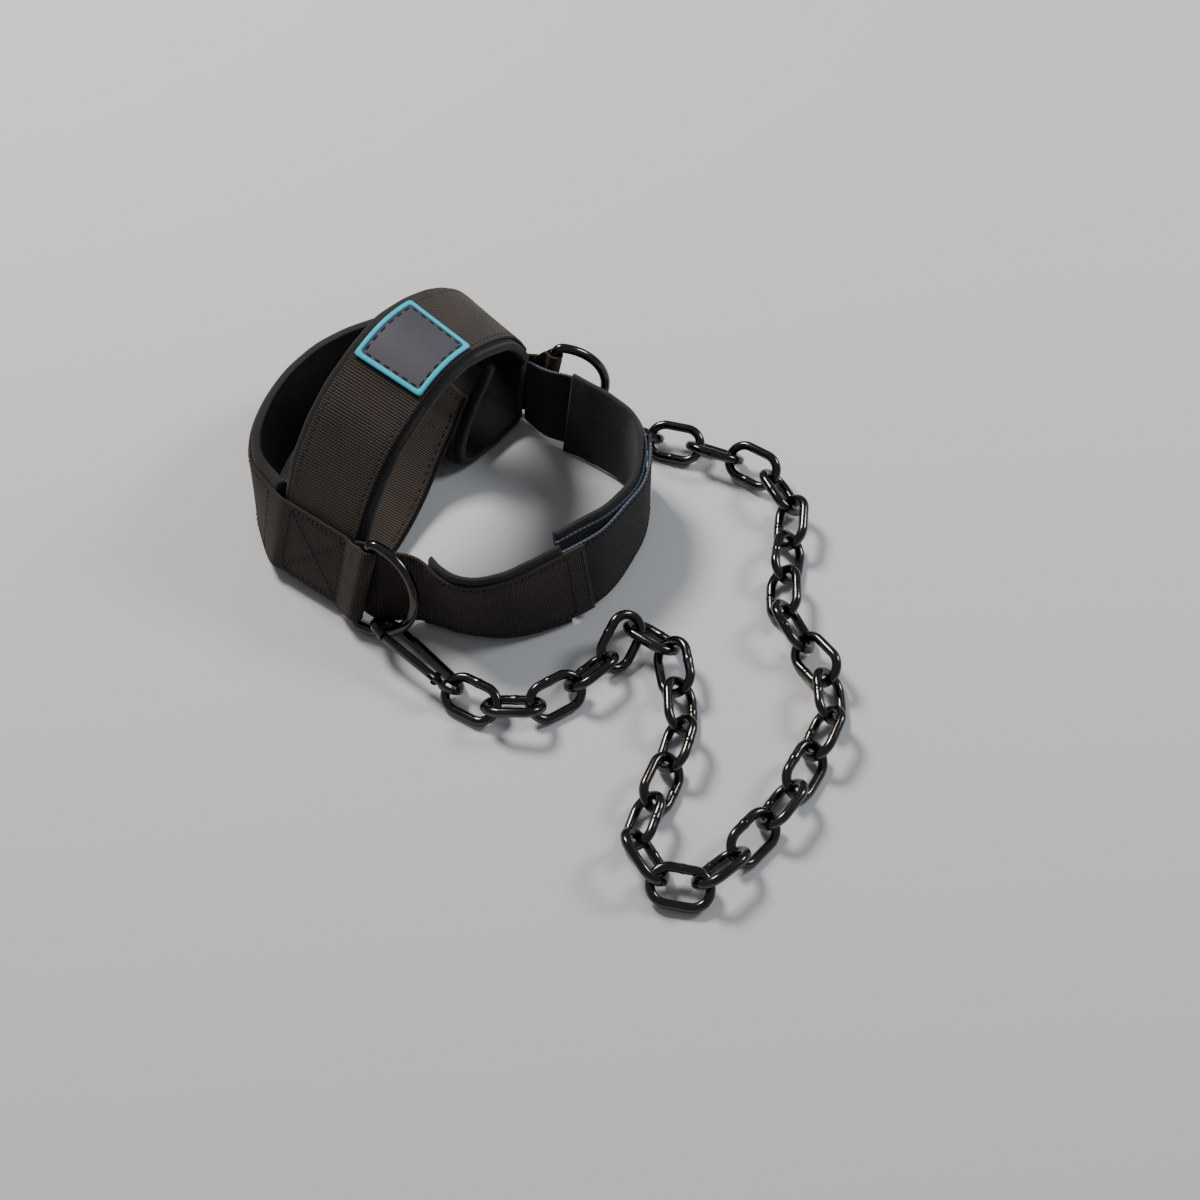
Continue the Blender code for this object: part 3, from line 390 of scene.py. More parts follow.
def ring_fold(joint):
    """Middle line of the webbing from the joint round the ring's bar and back."""
    flat = -WEB_THICK / 2
    bar, level = joint.bar_at, joint.bar_level
    back = flat - WEB_THICK - GAP + FOLD_FOLLOWS * level
    top = level + LOOP_RADIUS * math.sin(math.radians(FOLD_WRAP))
    low = level - LOOP_RADIUS * math.sin(math.radians(FOLD_WRAP))
    near = bar + LOOP_RADIUS * math.cos(math.radians(FOLD_WRAP))
    inner = joint.clear
    line = []
    for t in (0.0, 0.25, 0.5, 0.75):
        ease = t * t * (3 - 2 * t) if t < 0.5 else t
        line.append((FOLD_START + (near - FOLD_START) * t, flat + (top - flat) * ease))
    for i in range(FOLD_STEPS + 1):
        a = math.radians(FOLD_WRAP - 2 * FOLD_WRAP * i / FOLD_STEPS)
        line.append((bar + LOOP_RADIUS * math.cos(a), level + LOOP_RADIUS * math.sin(a)))
    line.append(((near + inner) / 2, (low + back) / 2))
    line.append((inner, back))
    return line


def ring_line(joint, swing, hold):
    """Centre line of a D-ring, its straight bar through the webbing's fold.

    Also the ring's plane and the point of its bow where the hook holds it.
    """
    half = WEB_WIDTH / 2 + RING_OVER_WEB / 2 + RING_RADIUS
    v, out, _ = joint.fold_axes(1.0)
    swing = math.radians(swing)
    u = joint.along * math.cos(swing) + out * math.sin(swing)
    centre = joint.fold_at(joint.bar_at, 0.0, joint.bar_level)
    r = RING_CORNER
    depth = RING_DEPTH - RING_WIRE
    line = [centre + v * (half - r) * k / 2 for k in (-2, -1, 0, 1, 2)]
    line += arc(centre + u * r + v * (half - r), r, 180, 90, RING_CORNER_STEPS, u, v)[1:]

    def bow(angle):
        a = math.radians(angle)
        return centre + u * (r + (depth - r) * math.cos(a)) + v * (half * math.sin(a))

    line += [bow(90 - 180 * i / RING_BOW_STEPS) for i in range(1, RING_BOW_STEPS)]
    line += arc(centre + u * r - v * (half - r), r, 270, 180, RING_CORNER_STEPS, u, v)[:-1]
    return line, u.cross(v).normalized(), bow(hold)


class Hook:
    """A snap hook with its spine on the floor. x runs from the bow to the eye and y from
    the spine to the gate."""

    def __init__(self, held, hold, heading, lean):
        a, b = math.radians(heading), math.radians(lean)
        upright = Vector((0.0, 0.0, 1.0))
        self.x = Vector((math.cos(a), math.sin(a), 0.0))
        self.y = upright * math.cos(b) + self.x.cross(upright) * math.sin(b)
        radius = HOOK_WIRE / 2
        rise = (held.z - radius) / math.cos(b)
        self.base = held - self.x * hold - self.y * rise
        self.eye = HOOK_EYE_RADIUS
        self.eye_x = HOOK_LENGTH - radius - self.eye
        self.pivot = self.at(self.eye_x - PIVOT_BACK, 2 * self.eye)

    def at(self, x, y):
        return self.base + self.x * x + self.y * y

    def seat(self):
        """Middle of the joint between the eye and the chain's end link."""
        slack = (HOOK_WIRE + LINK_WIRE + LINK_PLAY) / 2
        return self.at(self.eye_x + self.eye - slack + (LINK_WIRE + LINK_PLAY) / 2, self.eye)


class Chain:
    """Links laid along a route from one hook to the other, resting on the floor.

    The crowns of two linked links lie on either side of their joint. The route is drawn
    out or in until its length suits the links, and joints are raised until no link dips
    below the floor.
    """

    PASSES = 8
    BULGES = (0.8, 1.25)
    HALVINGS = 24
    STRIDES = (0.5 * LINK_PITCH, 1.6 * LINK_PITCH)
    LOOK_AHEAD = 4.0

    def __init__(self, start, start_along, end, end_along):
        self.crown = (LINK_WIDTH - LINK_WIRE) / 2
        self.straight = LINK_PITCH + LINK_WIRE - 2 * self.crown
        self.reach = (LINK_WIRE + LINK_PLAY) / 2
        self.start, self.start_along = start, start_along
        self.end, self.end_along = end, end_along
        self.raised = [0.0] * (LINK_COUNT + 1)
        for _ in range(self.PASSES):
            self.fit()
            dips = [0.0] * (LINK_COUNT + 1)
            for i in range(LINK_COUNT):
                for joint, height in zip((i, i + 1), self.lowest(i)):
                    dips[joint] = max(dips[joint], -height)
            for joint in range(1, LINK_COUNT):
                self.raised[joint] += dips[joint]
        self.fit()

    def fit(self):
        low, high = self.BULGES
        for _ in range(self.HALVINGS):
            bulge = (low + high) / 2
            if self.march(bulge) > 0:
                low = bulge
            else:
                high = bulge
        self.march(low)

    def route(self, bulge):
        span = self.end - self.start
        out = [self.start]
        for row in CHAIN_ROUTE:
            p = Vector((*row, CHAIN_LEVEL))
            t = (p - self.start).dot(span) / span.length_squared
            base = self.start + span * t
            q = base + (p - base) * bulge
            out.append(Vector((q.x, q.y, p.z)))
        out.append(self.end)
        return out

    def centres(self, a, ta, b, tb, roll):
        """Crown centres and plane of a link between two joints of the chain."""
        x = (b - a).normalized()
        for _ in range(3):
            level = (Vector((0, 0, 1)) - x * x.z).normalized()
            side = x.cross(level)
            r = math.radians(roll)
            normal = level * math.cos(r) + side * math.sin(r)
            ua = (ta - normal * ta.dot(normal)).normalized()
            ub = (tb - normal * tb.dot(normal)).normalized()
            ca = a - ta * self.reach + ua * self.crown
            cb = b + tb * self.reach - ub * self.crown
            x = (cb - ca).normalized()
        normal = (normal - x * normal.dot(x)).normalized()
        return ca, cb, normal

    def march(self, bulge):
        """Lay the links along the route; returns how far the last one overshoots."""
        points = self.route(bulge)
        knots = [0.0]
        for a, b in zip(points, points[1:]):
            knots.append(knots[-1] + (b - a).length)
        far = knots[-1]

        def where(u):
            if u > far:
                return points[-1] + self.end_along * (u - far)
            return hermite(knots, points, u)

        def along(u):
            if u >= far - self.LOOK_AHEAD / 4:
                return self.end_along
            if u <= 0.0:
                return self.start_along
            after, before = min(far, u + self.LOOK_AHEAD), max(0.0, u - self.LOOK_AHEAD)
            return (where(after) - where(before)).normalized()

        self.links = []
        u = 0.0
        for i in range(LINK_COUNT):
            roll = link_roll(i + 1)
            a, ta = where(u), along(u)
            a.z += self.raised[i]
            low, high = (u + stride for stride in self.STRIDES)
            for _ in range(self.HALVINGS):
                mid = (low + high) / 2
                b = where(mid)
                b.z += self.raised[i + 1]
                ca, cb, normal = self.centres(a, ta, b, along(mid), roll)
                if (cb - ca).length < self.straight:
                    low = mid
                else:
                    high = mid
            self.links.append((ca, cb, normal))
            u = mid
            if u > far and i < LINK_COUNT - 1:
                return u - far + (LINK_COUNT - 1 - i) * LINK_PITCH
        return u - far

    def lowest(self, i):
        """Height over the floor of the lowest point at either end of a link."""
        ca, cb, normal = self.links[i]
        dips = math.sqrt(max(0.0, 1.0 - normal.z ** 2))
        drop = self.crown * dips + LINK_WIRE / 2
        return ca.z - drop, cb.z - drop


def link_roll(number):
    """Roll of a numbered link. Links lie rolled to one side and to the other in turn."""
    return OTHER_ROLLS.get(number, LINK_ROLL if number % 2 else -LINK_ROLL)


def closing_paths(left, right):
    """Right part from its joint, and left part from its joint out over the right one."""
    start = right.at(PAD_EDGE - STRAP_UNDER, 0.0, BROW_LEVEL + GAP)
    rows = [(*start, *right.up)]
    rows += standing(CLOSING_RIGHT, PAD_WIDTH, LINING_THICK)
    right_path = Path(rows)

    level = BROW_LEVEL - PAD_THICK / 2
    rows = [left.row(PAD_EDGE + reach, level) for reach in STRAP_LEAVES]
    rows += standing(CLOSING_LEFT, PAD_WIDTH, LINING_THICK + WEB_THICK, inward=-1.0)
    stack = WEB_THICK + FASTENER_GAP + WEB_THICK + GAP + WEB_THICK
    for k in FASTENED_ROWS:
        s = right_path.marks[k + 1]
        _, _, across, _ = right_path.frame(s)
        rows.append((*right_path.at(s, 0.0, stack), *across))
    x, y = HOOK_STRAP_END
    rows.append((x, y, PAD_WIDTH / 2, 0.0, 0.0, 1.0))
    left_path = Path(rows, outward=-1.0)
    return left_path, right_path


# Rows of stitches, in millimetres. The shape's columns are the share of the stitch's
# length, and its thickness and rise in thread radii.
STITCH_LENGTH = 2.3
STITCH_GAP = 1.0
STITCH_RADIUS = 0.5
STITCH_SIDES = 6
STITCH_LEAD = 0.15
STITCH_SHAPE = ((0.0, 0.35, -0.35), (0.2, 0.95, 0.05), (0.5, 1.1, 0.12), (0.8, 0.95, 0.05),
                (1.0, 0.35, -0.35))
ROW_STEP = 8.0
CROWN_ROW_STEP = 6.0
ROW_PARTS = 6
END_MARGIN = 4.0

# Seams pressed into the webbing, and its edges
EDGE_SEAM = 3.2
SEAM_DIP = 0.45
SEAM_WIDTH = 0.8
SEAM_BACK = 14.0
SEAM_INSET = 2.0
SURFACE_LIFT = 0.02
BOX_LIFT = 0.05
WEB_ROUNDING = 0.85
FOLD_ROUNDING = 0.9
EDGE_FLAT = 0.05
EDGE_TURN = 0.55

# Where the rows of stitches lie
BROW_ROW_START = 60.0
BROW_SHORT_ROW = ((66.0, -6.0), (98.0, -5.0))
REAR_ROW_START = 6.0
CLOSING_ROW_START = 10.0
HOOK_ROW_START = 3.0
HOOK_ROW_STOP = 14.0
CROWN_SEAM_SPACING = 30.0
BOX_INSET = 4.0
BOX_DOUBLE = 1.6

# Foam edges, and how they swell along a pad: size, and two rates with the second's start
PAD_ROUNDING = 1.9
LINING_LEFT_ROUNDING = 1.6
LINING_RIGHT_ROUNDING = 1.5
LINING_PUFF = 1.0
PUFF = 0.25
BROW_PUFF = (0.21, 0.057, 1.0)
REAR_PUFF = (0.19, 0.05, 2.0)

# Patch: corner, and the section of its raised border as inset and height
PATCH_ROUNDING = 0.6
PATCH_CORNER = 2.0
PATCH_SIDE_STEPS = 24
PATCH_SEAM_INSET = 1.2
BORDER_SINK = 0.15
BORDER_HEIGHT = 0.75
BORDER_SECTION = ((0.0, 0.0), (0.02, 0.55), (0.25, 0.95), (0.8, 1.15), (BORDER_WIDTH / 2, 1.2),
                  (BORDER_WIDTH - 0.8, 1.15), (BORDER_WIDTH - 0.25, 0.9), (BORDER_WIDTH, 0.0))

# Welded side of a link, and how finely the surfaces are drawn
WELD_SWELL = 0.10
WELD_WIDTH = 1.1
LINK_SIDE_STEPS = 14
LINK_BEND_STEPS = 20
LINK_SIDES = 16
RING_SIDES = 20
RING_STEP = 1.6
FABRIC_STEP = 1.5
PATCH_STEP = 1.0
FOLD_STEP = 0.9
CORNER_STEPS = 4
TOP_STEPS = 26
BOTTOM_STEPS = 12

# Colours of the materials
# Webbing and hook cloth: each dark colour is painted shade in the weave's hollows, each light colour
# painted light on its tops
WEB_DARK = (0.006, 0.0045, 0.004)
WEB_LIGHT = (0.070, 0.050, 0.037)
# Near black painted on the inner faces of the brow and rear pads, as painted shade
FOAM_GREY = (0.030, 0.029, 0.029)
INNER_FACE_SHADE = (0.006, 0.006, 0.006)
HOOK_DARK = (0.006, 0.005, 0.005)
HOOK_LIGHT = (0.036, 0.029, 0.025)
EDGE_BLUE = (0.10, 0.13, 0.19)
THREAD_BLACK = (0.003, 0.003, 0.003)
PATCH_GREY = (0.062, 0.058, 0.075)
CYAN = (0.0, 0.50, 0.68)
NICKEL = (0.07, 0.065, 0.06)
FLOOR_GREY = (0.62, 0.62, 0.63, 1.0)
SKY_GREY = (0.75, 0.78, 0.82, 1.0)

# Periods of the weaves in millimetres: along the strap, and across it
RIB_WEAVE = (1.35, 1.1)
GRID_WEAVE = (1.75, 1.75)
CROWN_WEAVE = (1.6, 1.3)
TWILL_WEAVE = (1.5, 1.1)
KNIT = (1.1, 0.8)
CROWN_SLANT = 0.12
TWILL_SLANT = 0.75

# Camera, in millimetres from the middle of the drawing, and the stage in metres.
# Columns of the lights: name, place, size, power in watts, colour.
CAMERA_PLACE = Vector((0.0, -695.3, 957.0))
CAMERA_LENS = 59.6
CAMERA_SENSOR = 36.0
FLOOR_HALF = 6.0
SKY_STRENGTH = 0.28
LIGHTS = (
    ("key", (-0.8, 1.0, 1.5), 0.55, 40.0, (1.0, 0.95, 0.88)),
    ("fill", (1.3, 0.5, 1.1), 0.5, 14.0, (0.9, 0.95, 1.0)),
)

brow = Path(BROW)
left_joint = Joint(brow, LEFT_JOINT_ROW, **LEFT_SIDE)
right_joint = Joint(brow, RIGHT_JOINT_ROW, **RIGHT_SIDE)


class Nodes:
    """A material's shader and short ways to add nodes to it."""

    def __init__(self, name, roughness, metallic=0.0, specular=0.5):
        self.mat = bpy.data.materials.new(name)
        self.mat.use_nodes = True
        self.tree = self.mat.node_tree
        self.shader = self.tree.nodes["Principled BSDF"]
        self.set("Roughness", roughness)
        self.set("Metallic", metallic)
        self.set("Specular IOR Level", specular)

    def set(self, name, value):
        self.put(self.shader.inputs[name], value)

    def put(self, socket, value):
        if isinstance(value, bpy.types.NodeSocket):
            self.tree.links.new(value, socket)
        else:
            socket.default_value = value

    def math(self, operation, a, b=0.0):
        node = self.tree.nodes.new("ShaderNodeMath")
        node.operation = operation
        self.put(node.inputs[0], a)
        self.put(node.inputs[1], b)
        return node.outputs[0]

    def times(self, a, b):
        return self.math("MULTIPLY", a, b)

    def strap(self):
        """Length along, place across and level of a point of a strap, in millimetres."""
        attribute = self.tree.nodes.new("ShaderNodeAttribute")
        attribute.attribute_name = "strap"
        split = self.tree.nodes.new("ShaderNodeSeparateXYZ")
        self.tree.links.new(attribute.outputs["Vector"], split.inputs[0])
        return attribute.outputs["Vector"], *split.outputs[:3]

    def noise(self, vector, scale, detail=3.0):
        node = self.tree.nodes.new("ShaderNodeTexNoise")
        self.put(node.inputs["Vector"], vector)
        self.put(node.inputs["Scale"], scale)
        self.put(node.inputs["Detail"], detail)
        return node.outputs["Fac"]

    def place(self):
        """Position in metres on the object at rest."""
        return self.tree.nodes.new("ShaderNodeTexCoord").outputs["Object"]

    def colour(self, factor, low, high):
        node = self.tree.nodes.new("ShaderNodeMix")
        node.data_type = "RGBA"
        self.put(node.inputs["Factor"], factor)
        for socket, value in ((node.inputs[6], low), (node.inputs[7], high)):
            self.put(socket, value if isinstance(value, bpy.types.NodeSocket) else (*value, 1.0))
        return node.outputs[2]

    def ramp(self, factor, low, high):
        node = self.tree.nodes.new("ShaderNodeMapRange")
        self.put(node.inputs["Value"], factor)
        self.put(node.inputs["To Min"], low)
        self.put(node.inputs["To Max"], high)
        return node.outputs["Result"]

    def bump(self, height, distance, strength):
        node = self.tree.nodes.new("ShaderNodeBump")
        self.put(node.inputs["Strength"], strength)
        self.put(node.inputs["Distance"], distance)
        self.put(node.inputs["Height"], height)
        self.set("Normal", node.outputs["Normal"])


def shade(colour, factor):
    return tuple(c * factor for c in colour)


def wave(nodes, value, period):
    """Rounded ridges, one for each period of the value."""
    return nodes.math("ABSOLUTE", nodes.math("SINE", nodes.times(value, math.pi / period)))


def webbing_look(name, weave_size, slant=0.0, dark=WEB_DARK, light=WEB_LIGHT, edge=None):
    """Woven strap: ridges across its width, crossed by finer threads, with the hollows between them painted
    dark as painted shade and the tops painted light as painted light, and blotches of random wear.
    """
    along_period, across_period = weave_size
    nodes = Nodes(name, 0.78, specular=0.35)
    vector, s, w, _ = nodes.strap()
    leaning = nodes.math("ADD", s, nodes.times(w, slant))
    ridge = wave(nodes, leaning, along_period)
    row = nodes.math("FLOOR", nodes.math("DIVIDE", leaning, along_period))
    shifted = nodes.math("ADD", w, nodes.times(row, across_period / 2))
    thread_tone = wave(nodes, shifted, across_period)
    weave = nodes.times(ridge, nodes.math("ADD", nodes.times(thread_tone, 0.55), 0.45))
    worn = nodes.ramp(nodes.noise(vector, 0.045, 2.0), 0.55, 1.25)
    fuzz = nodes.ramp(nodes.noise(vector, 1.6, 2.0), 0.7, 1.2)
    # Painted shade and light: the weave's relief darkens its hollows and lightens its tops; worn and fuzz
    # vary the tone at random.
    shaded = nodes.colour(nodes.times(nodes.times(weave, worn), fuzz), dark, light)
    if edge:
        selvedge = nodes.math("GREATER_THAN", nodes.math("ABSOLUTE", w), WEB_WIDTH / 2 - EDGE_TURN)
        shaded = nodes.colour(nodes.times(selvedge, thread_tone), shaded, edge)
    nodes.set("Base Color", shaded)
    nodes.set("Roughness", nodes.ramp(weave, 0.95, 0.68))
    nodes.set("Sheen Weight", 0.05)
    nodes.set("Sheen Roughness", 0.5)
    nodes.bump(weave, 0.0005, 1.0)
    return nodes.mat


def foam_look(name, shade_below=None):
    """Foam sheet: grainy grey edges, and the face below a level painted near black with a knit texture, as
    painted shade.
    """
    nodes = Nodes(name, 0.95, specular=0.25)
    vector, s, w, level = nodes.strap()
    grain = nodes.noise(vector, 1.4, 4.0)
    blotch = nodes.noise(vector, 0.06, 2.0)
    surface_colour = nodes.colour(nodes.times(grain, nodes.ramp(blotch, 0.5, 1.3)),
                                  shade(FOAM_GREY, 0.35), shade(FOAM_GREY, 1.5))
    # Painted shade: the face below the level, the pad's inner face, is painted near black with a knit
    # texture.
    if shade_below is not None:
        knit = nodes.times(wave(nodes, s, KNIT[0]), wave(nodes, w, KNIT[1]))
        black = nodes.colour(nodes.times(knit, grain), shade(INNER_FACE_SHADE, 0.4),
                             shade(INNER_FACE_SHADE, 2.0))
        shaded = nodes.math("LESS_THAN", level, shade_below)
        surface_colour = nodes.colour(shaded, surface_colour, black)
    nodes.set("Base Color", surface_colour)
    nodes.set("Sheen Weight", 0.08)
    nodes.bump(grain, 0.0006, 0.7)
    return nodes.mat


def rubber_look(name, colour):
    nodes = Nodes(name, 0.5, specular=0.4)
    grain = nodes.noise(nodes.place(), 2600.0)
    cloud = nodes.noise(nodes.place(), 45.0, 2.0)
    nodes.set("Base Color", nodes.colour(cloud, shade(colour, 0.8), shade(colour, 1.2)))
    nodes.set("Roughness", nodes.ramp(grain, 0.42, 0.62))
    nodes.bump(grain, 0.00012, 0.4)
    return nodes.mat


def metal_look(name):
    """Polished black nickel, with faint waves from casting and fine rubbed scratches."""
    nodes = Nodes(name, 0.2, metallic=1.0)
    place = nodes.place()
    cloud = nodes.noise(place, 120.0)
    scratch = nodes.noise(place, 900.0, 5.0)
    nodes.set("Base Color", nodes.colour(cloud, shade(NICKEL, 0.7), shade(NICKEL, 1.5)))
    rubbed = nodes.times(nodes.math("ADD", cloud, scratch), 0.5)
    nodes.set("Roughness", nodes.ramp(rubbed, 0.06, 0.28))
    nodes.bump(cloud, 0.00025, 0.35)
    return nodes.mat


def thread_look(name):
    nodes = Nodes(name, 0.7)
    place = nodes.place()
    tone = nodes.noise(place, 3000.0)
    nodes.set("Base Color", nodes.colour(tone, THREAD_BLACK, shade(THREAD_BLACK, 3.0)))
    nodes.bump(nodes.noise(place, 4000.0), 0.0001, 0.5)
    return nodes.mat


web_rib = webbing_look("ribbed_webbing", RIB_WEAVE)
web_grid = webbing_look("grid_webbing", GRID_WEAVE)
web_crown = webbing_look("crown_webbing_look", CROWN_WEAVE, CROWN_SLANT)
hook_twill = webbing_look("twill_hook_cloth", TWILL_WEAVE, TWILL_SLANT, HOOK_DARK, HOOK_LIGHT, EDGE_BLUE)
crown_twill = webbing_look("crown_backing_look", TWILL_WEAVE, TWILL_SLANT, HOOK_DARK, HOOK_LIGHT)
# The lowest face of the brow and rear pads is painted near black, as painted shade.
brow_foam = foam_look("foam_with_painted_shade", 0.6 - PAD_THICK)
rear_foam = foam_look("rear_foam", REAR_PAD[0] + 0.7)
lining_foam = foam_look("lining_foam")
thread = thread_look("black_thread")
metal = metal_look("black_nickel")
rubber = rubber_look("patch_rubber_look", PATCH_GREY)
cyan = rubber_look("cyan_rubber_look", CYAN)


def side_metal(joint, swing, hold_angle, hold, heading, lean):
    """Centre line and plane of a side's ring, and the hook that hangs on it."""
    line, normal, held = ring_line(joint, swing, hold_angle)
    return line, normal, Hook(held, hold, heading, lean)


ends = {
    "left": side_metal(left_joint, LEFT_RING_SWING, LEFT_HOLD_ANGLE, LEFT_HOOK_HOLD,
                       LEFT_HOOK_HEADING, LEFT_HOOK_LEAN),
    "right": side_metal(right_joint, RIGHT_RING_SWING, RIGHT_HOLD_ANGLE, RIGHT_HOOK_HOLD,
                        RIGHT_HOOK_HEADING, RIGHT_HOOK_LEAN),
}

# The drawing's place in the model's frame, from the pin that both of them hold
pin_low, pin_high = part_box("left_pin")
SHIFT = (pin_low + pin_high) / 2 - ends["left"][2].pivot * MM


def surface(name, rings, look, nodes, coords=None, loop=False):
    """A closed body through rings of points, which stands for nodes of the model."""
    bm = bmesh.new()
    layer = bm.verts.layers.float_vector.new("strap")
    rows = []
    for i, ring in enumerate(rings):
        row = [bm.verts.new(p * MM + SHIFT) for p in ring]
        if coords:
            for v, place in zip(row, coords[i]):
                v[layer] = place
        rows.append(row)
    skin(bm, rows, loop)
    obj = finish_mesh(name, bm, look)
    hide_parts(*nodes)
    return obj


def skin(bm, rows, loop=False):
    """Smooth faces from each row of points to the next, with flat ends or in a loop."""
    count = len(rows[0])
    pairs = zip(rows, rows[1:] + rows[:1]) if loop else zip(rows, rows[1:])
    for a, b in pairs:
        for i in range(count):
            j = (i + 1) % count
            bm.faces.new((a[i], a[j], b[j], b[i])).smooth = True
    if not loop:
        bm.faces.new(rows[0][::-1])
        bm.faces.new(rows[-1])


def finish_mesh(name, bm, look):
    bmesh.ops.recalc_face_normals(bm, faces=bm.faces)
    if bm.calc_volume(signed=True) < 0:
        bmesh.ops.reverse_faces(bm, faces=bm.faces)
    mesh = bpy.data.meshes.new(name)
    bm.to_mesh(mesh)
    bm.free()
    obj = bpy.data.objects.new(name, mesh)
    bpy.context.scene.collection.objects.link(obj)
    mesh.materials.append(look)
    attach(obj, BODY)
    return obj


def rounded(lower, upper, low, high, radius, seams=()):
    """Cross-section of a strap with round edges; seams press its upper face in."""
    right, left = upper - radius, lower + radius
    corners = ((right, low + radius, -90, 0), (right, high - radius, 0, TOP_STEPS),
               (left, high - radius, 90, 0), (left, low + radius, 180, BOTTOM_STEPS))
    out = []
    for w, n, start, run in corners:
        for i in range(CORNER_STEPS + 1):
            a = math.radians(start + 90.0 * i / CORNER_STEPS)
            out.append((w + radius * math.cos(a), n + radius * math.sin(a)))
        far, level = (left, high) if w == right else (right, low)
        out += [(w + (far - w) * i / run, level) for i in range(1, run)]
    pressed = []
    for w, n in out:
        dip = sum(math.exp(-((w - seam) / SEAM_WIDTH) ** 2) for seam in seams)
        pressed.append((w, n - SEAM_DIP * dip if n > (low + high) / 2 else n))
    return pressed


def strip(name, path, start, end, section, look, node, step=FABRIC_STEP):
    """A strap between two lengths of a path; section gives its cross-section at a length."""
    count = max(2, int((end - start) / step))
    rings, coords = [], []
    for i in range(count + 1):
        s = start + (end - start) * i / count
        point, _, across, out = path.frame(s)
        profile = section(s)
        rings.append([point + across * w + out * n for w, n in profile])
        coords.append([(s, w, n) for w, n in profile])
    return surface(name, rings, look, [node], coords)


def edge_lines(shift=0.0):
    """Where the two edge seams lie across a strap."""
    return [side * (WEB_WIDTH / 2 - EDGE_SEAM) + shift for side in (-1, 1)]


def web_section(low, high, shift=0.0):
    """The same cross-section of webbing at every length."""
    half = WEB_WIDTH / 2
    radius = min(WEB_ROUNDING, (high - low) / 2 - EDGE_FLAT)
    profile = rounded(shift - half, shift + half, low, high, radius, edge_lines(shift))
    return lambda s: profile


def pad_section(low, high, width, radius=PAD_ROUNDING, puff_rates=BROW_PUFF):
    """Foam with soft edges that swell a little beside the webbing's seams."""
    fast, slow, lead = puff_rates

    def section(s):
        half = width / 2 + PUFF * math.sin(s * fast) * math.sin(s * slow + lead)
        return rounded(-half, half, low, high, min(radius, (high - low) / 2 - EDGE_FLAT))
    return section


def divided(a, b, parts=ROW_PARTS):
    """Places at equal steps from a to b."""
    return [tuple(a[k] + (b[k] - a[k]) * i / parts for k in range(2)) for i in range(parts + 1)]


def edge_rows(first, last, step=ROW_STEP):
    """Rows of places along both edges of a strap between two lengths."""
    return [[(first + step * k, w) for k in range(int((last - first) / step))] for w in edge_lines()]


def cross_row(s, parts):
    """A row of places across a strap, from one edge seam to the other."""
    edge = edge_lines()[1]
    return [(s, k * edge / parts) for k in range(-parts, parts + 1)]


def stitches(name, place, lines):
    """Rows of stitches; each line is a list of places, and place gives a point and normal."""
    pitch = STITCH_LENGTH + STITCH_GAP
    bm = bmesh.new()
    for line in lines:
        for a, b in zip(line, line[1:]):
            count = max(1, int(math.dist(a, b) / pitch))
            for i in range(count):
                start = (i + STITCH_LEAD) / count
                end = start + STITCH_LENGTH / pitch / count
                marks = [tuple(a[k] + (b[k] - a[k]) * t for k in range(2)) for t in (start, end)]
                add_stitch(bm, place(*marks[0]), place(*marks[1]))
    return finish_mesh(name, bm, thread)


def add_stitch(bm, first, second):
    """One thread lying between two points of the cloth, its ends sunk in."""
    (a, normal), (b, _) = first, second
    side = normal.cross((b - a).normalized()).normalized()
    rows = []
    for share, width, lift in STITCH_SHAPE:
        centre = a + (b - a) * share + normal * (lift * STITCH_RADIUS)
        row = []
        for k in range(STITCH_SIDES):
            angle = 2 * math.pi * k / STITCH_SIDES
            offset = side * math.cos(angle) + normal * math.sin(angle)
            row.append(bm.verts.new((centre + offset * (STITCH_RADIUS * width)) * MM + SHIFT))
        rows.append(row)
    skin(bm, rows)


def on_path(path, level):
    def place(s, w):
        point, _, across, out = path.frame(s)
        return point + across * w + out * level, out
    return place


def on_joint(joint, level):
    def place(s, w):
        return joint.at(s, w, level), joint.out
    return place


def wire(name, line, radii, up, sides, node):
    """Round steel wire along a closed planar line, with a radius at each point."""
    rings = []
    count = len(line)
    for i, (p, r) in enumerate(zip(line, radii)):
        along = (line[(i + 1) % count] - line[i - 1]).normalized()
        rings.append(arc(p, r, 0.0, 360.0, sides, up.cross(along).normalized(), up)[:-1])
    return surface(name, rings, metal, [node], loop=True)


def smooth_line(points, step, loop=False):
    """Points at about equal steps on a smooth curve through the given ones."""
    if loop:
        points = points[-2:] + points + points[:3]
    knots = [0.0]
    for a, b in zip(points, points[1:]):
        knots.append(knots[-1] + (b - a).length)
    first, last = (knots[2], knots[-3]) if loop else (0.0, knots[-1])
    count = max(4, int((last - first) / step))
    ends_at = count if loop else count + 1
    return [hermite(knots, points, first + (last - first) * i / count) for i in range(ends_at)]


def make_brow():
    middle = brow.marks[APEX_ROW] + PATCH_SHIFT
    half = PATCH_SIZE / 2
    pad = strip("brow_pad_foam", brow, 0.0, brow.length, pad_section(-PAD_THICK, -GAP / 2, PAD_WIDTH),
                brow_foam, "brow_pad")
    start, end = BROW_WEB_START, brow.length - BROW_WEB_SHORT
    top = GAP / 2 + WEB_THICK
    strip("brow_webbing_woven", brow, start, end, web_section(GAP / 2, top), web_grid,
          "brow_webbing")
    lines = edge_rows(start + BROW_ROW_START, middle - half - SEAM_INSET)
    lines += edge_rows(middle + half + SEAM_INSET, end - END_MARGIN)
    edge = edge_lines()[1]
    lines.append([(start + s, edge + w) for s, w in BROW_SHORT_ROW])
    stitches("brow_stitching", on_path(brow, top - SEAM_DIP), lines)
    make_patch(middle, half, top + GAP)


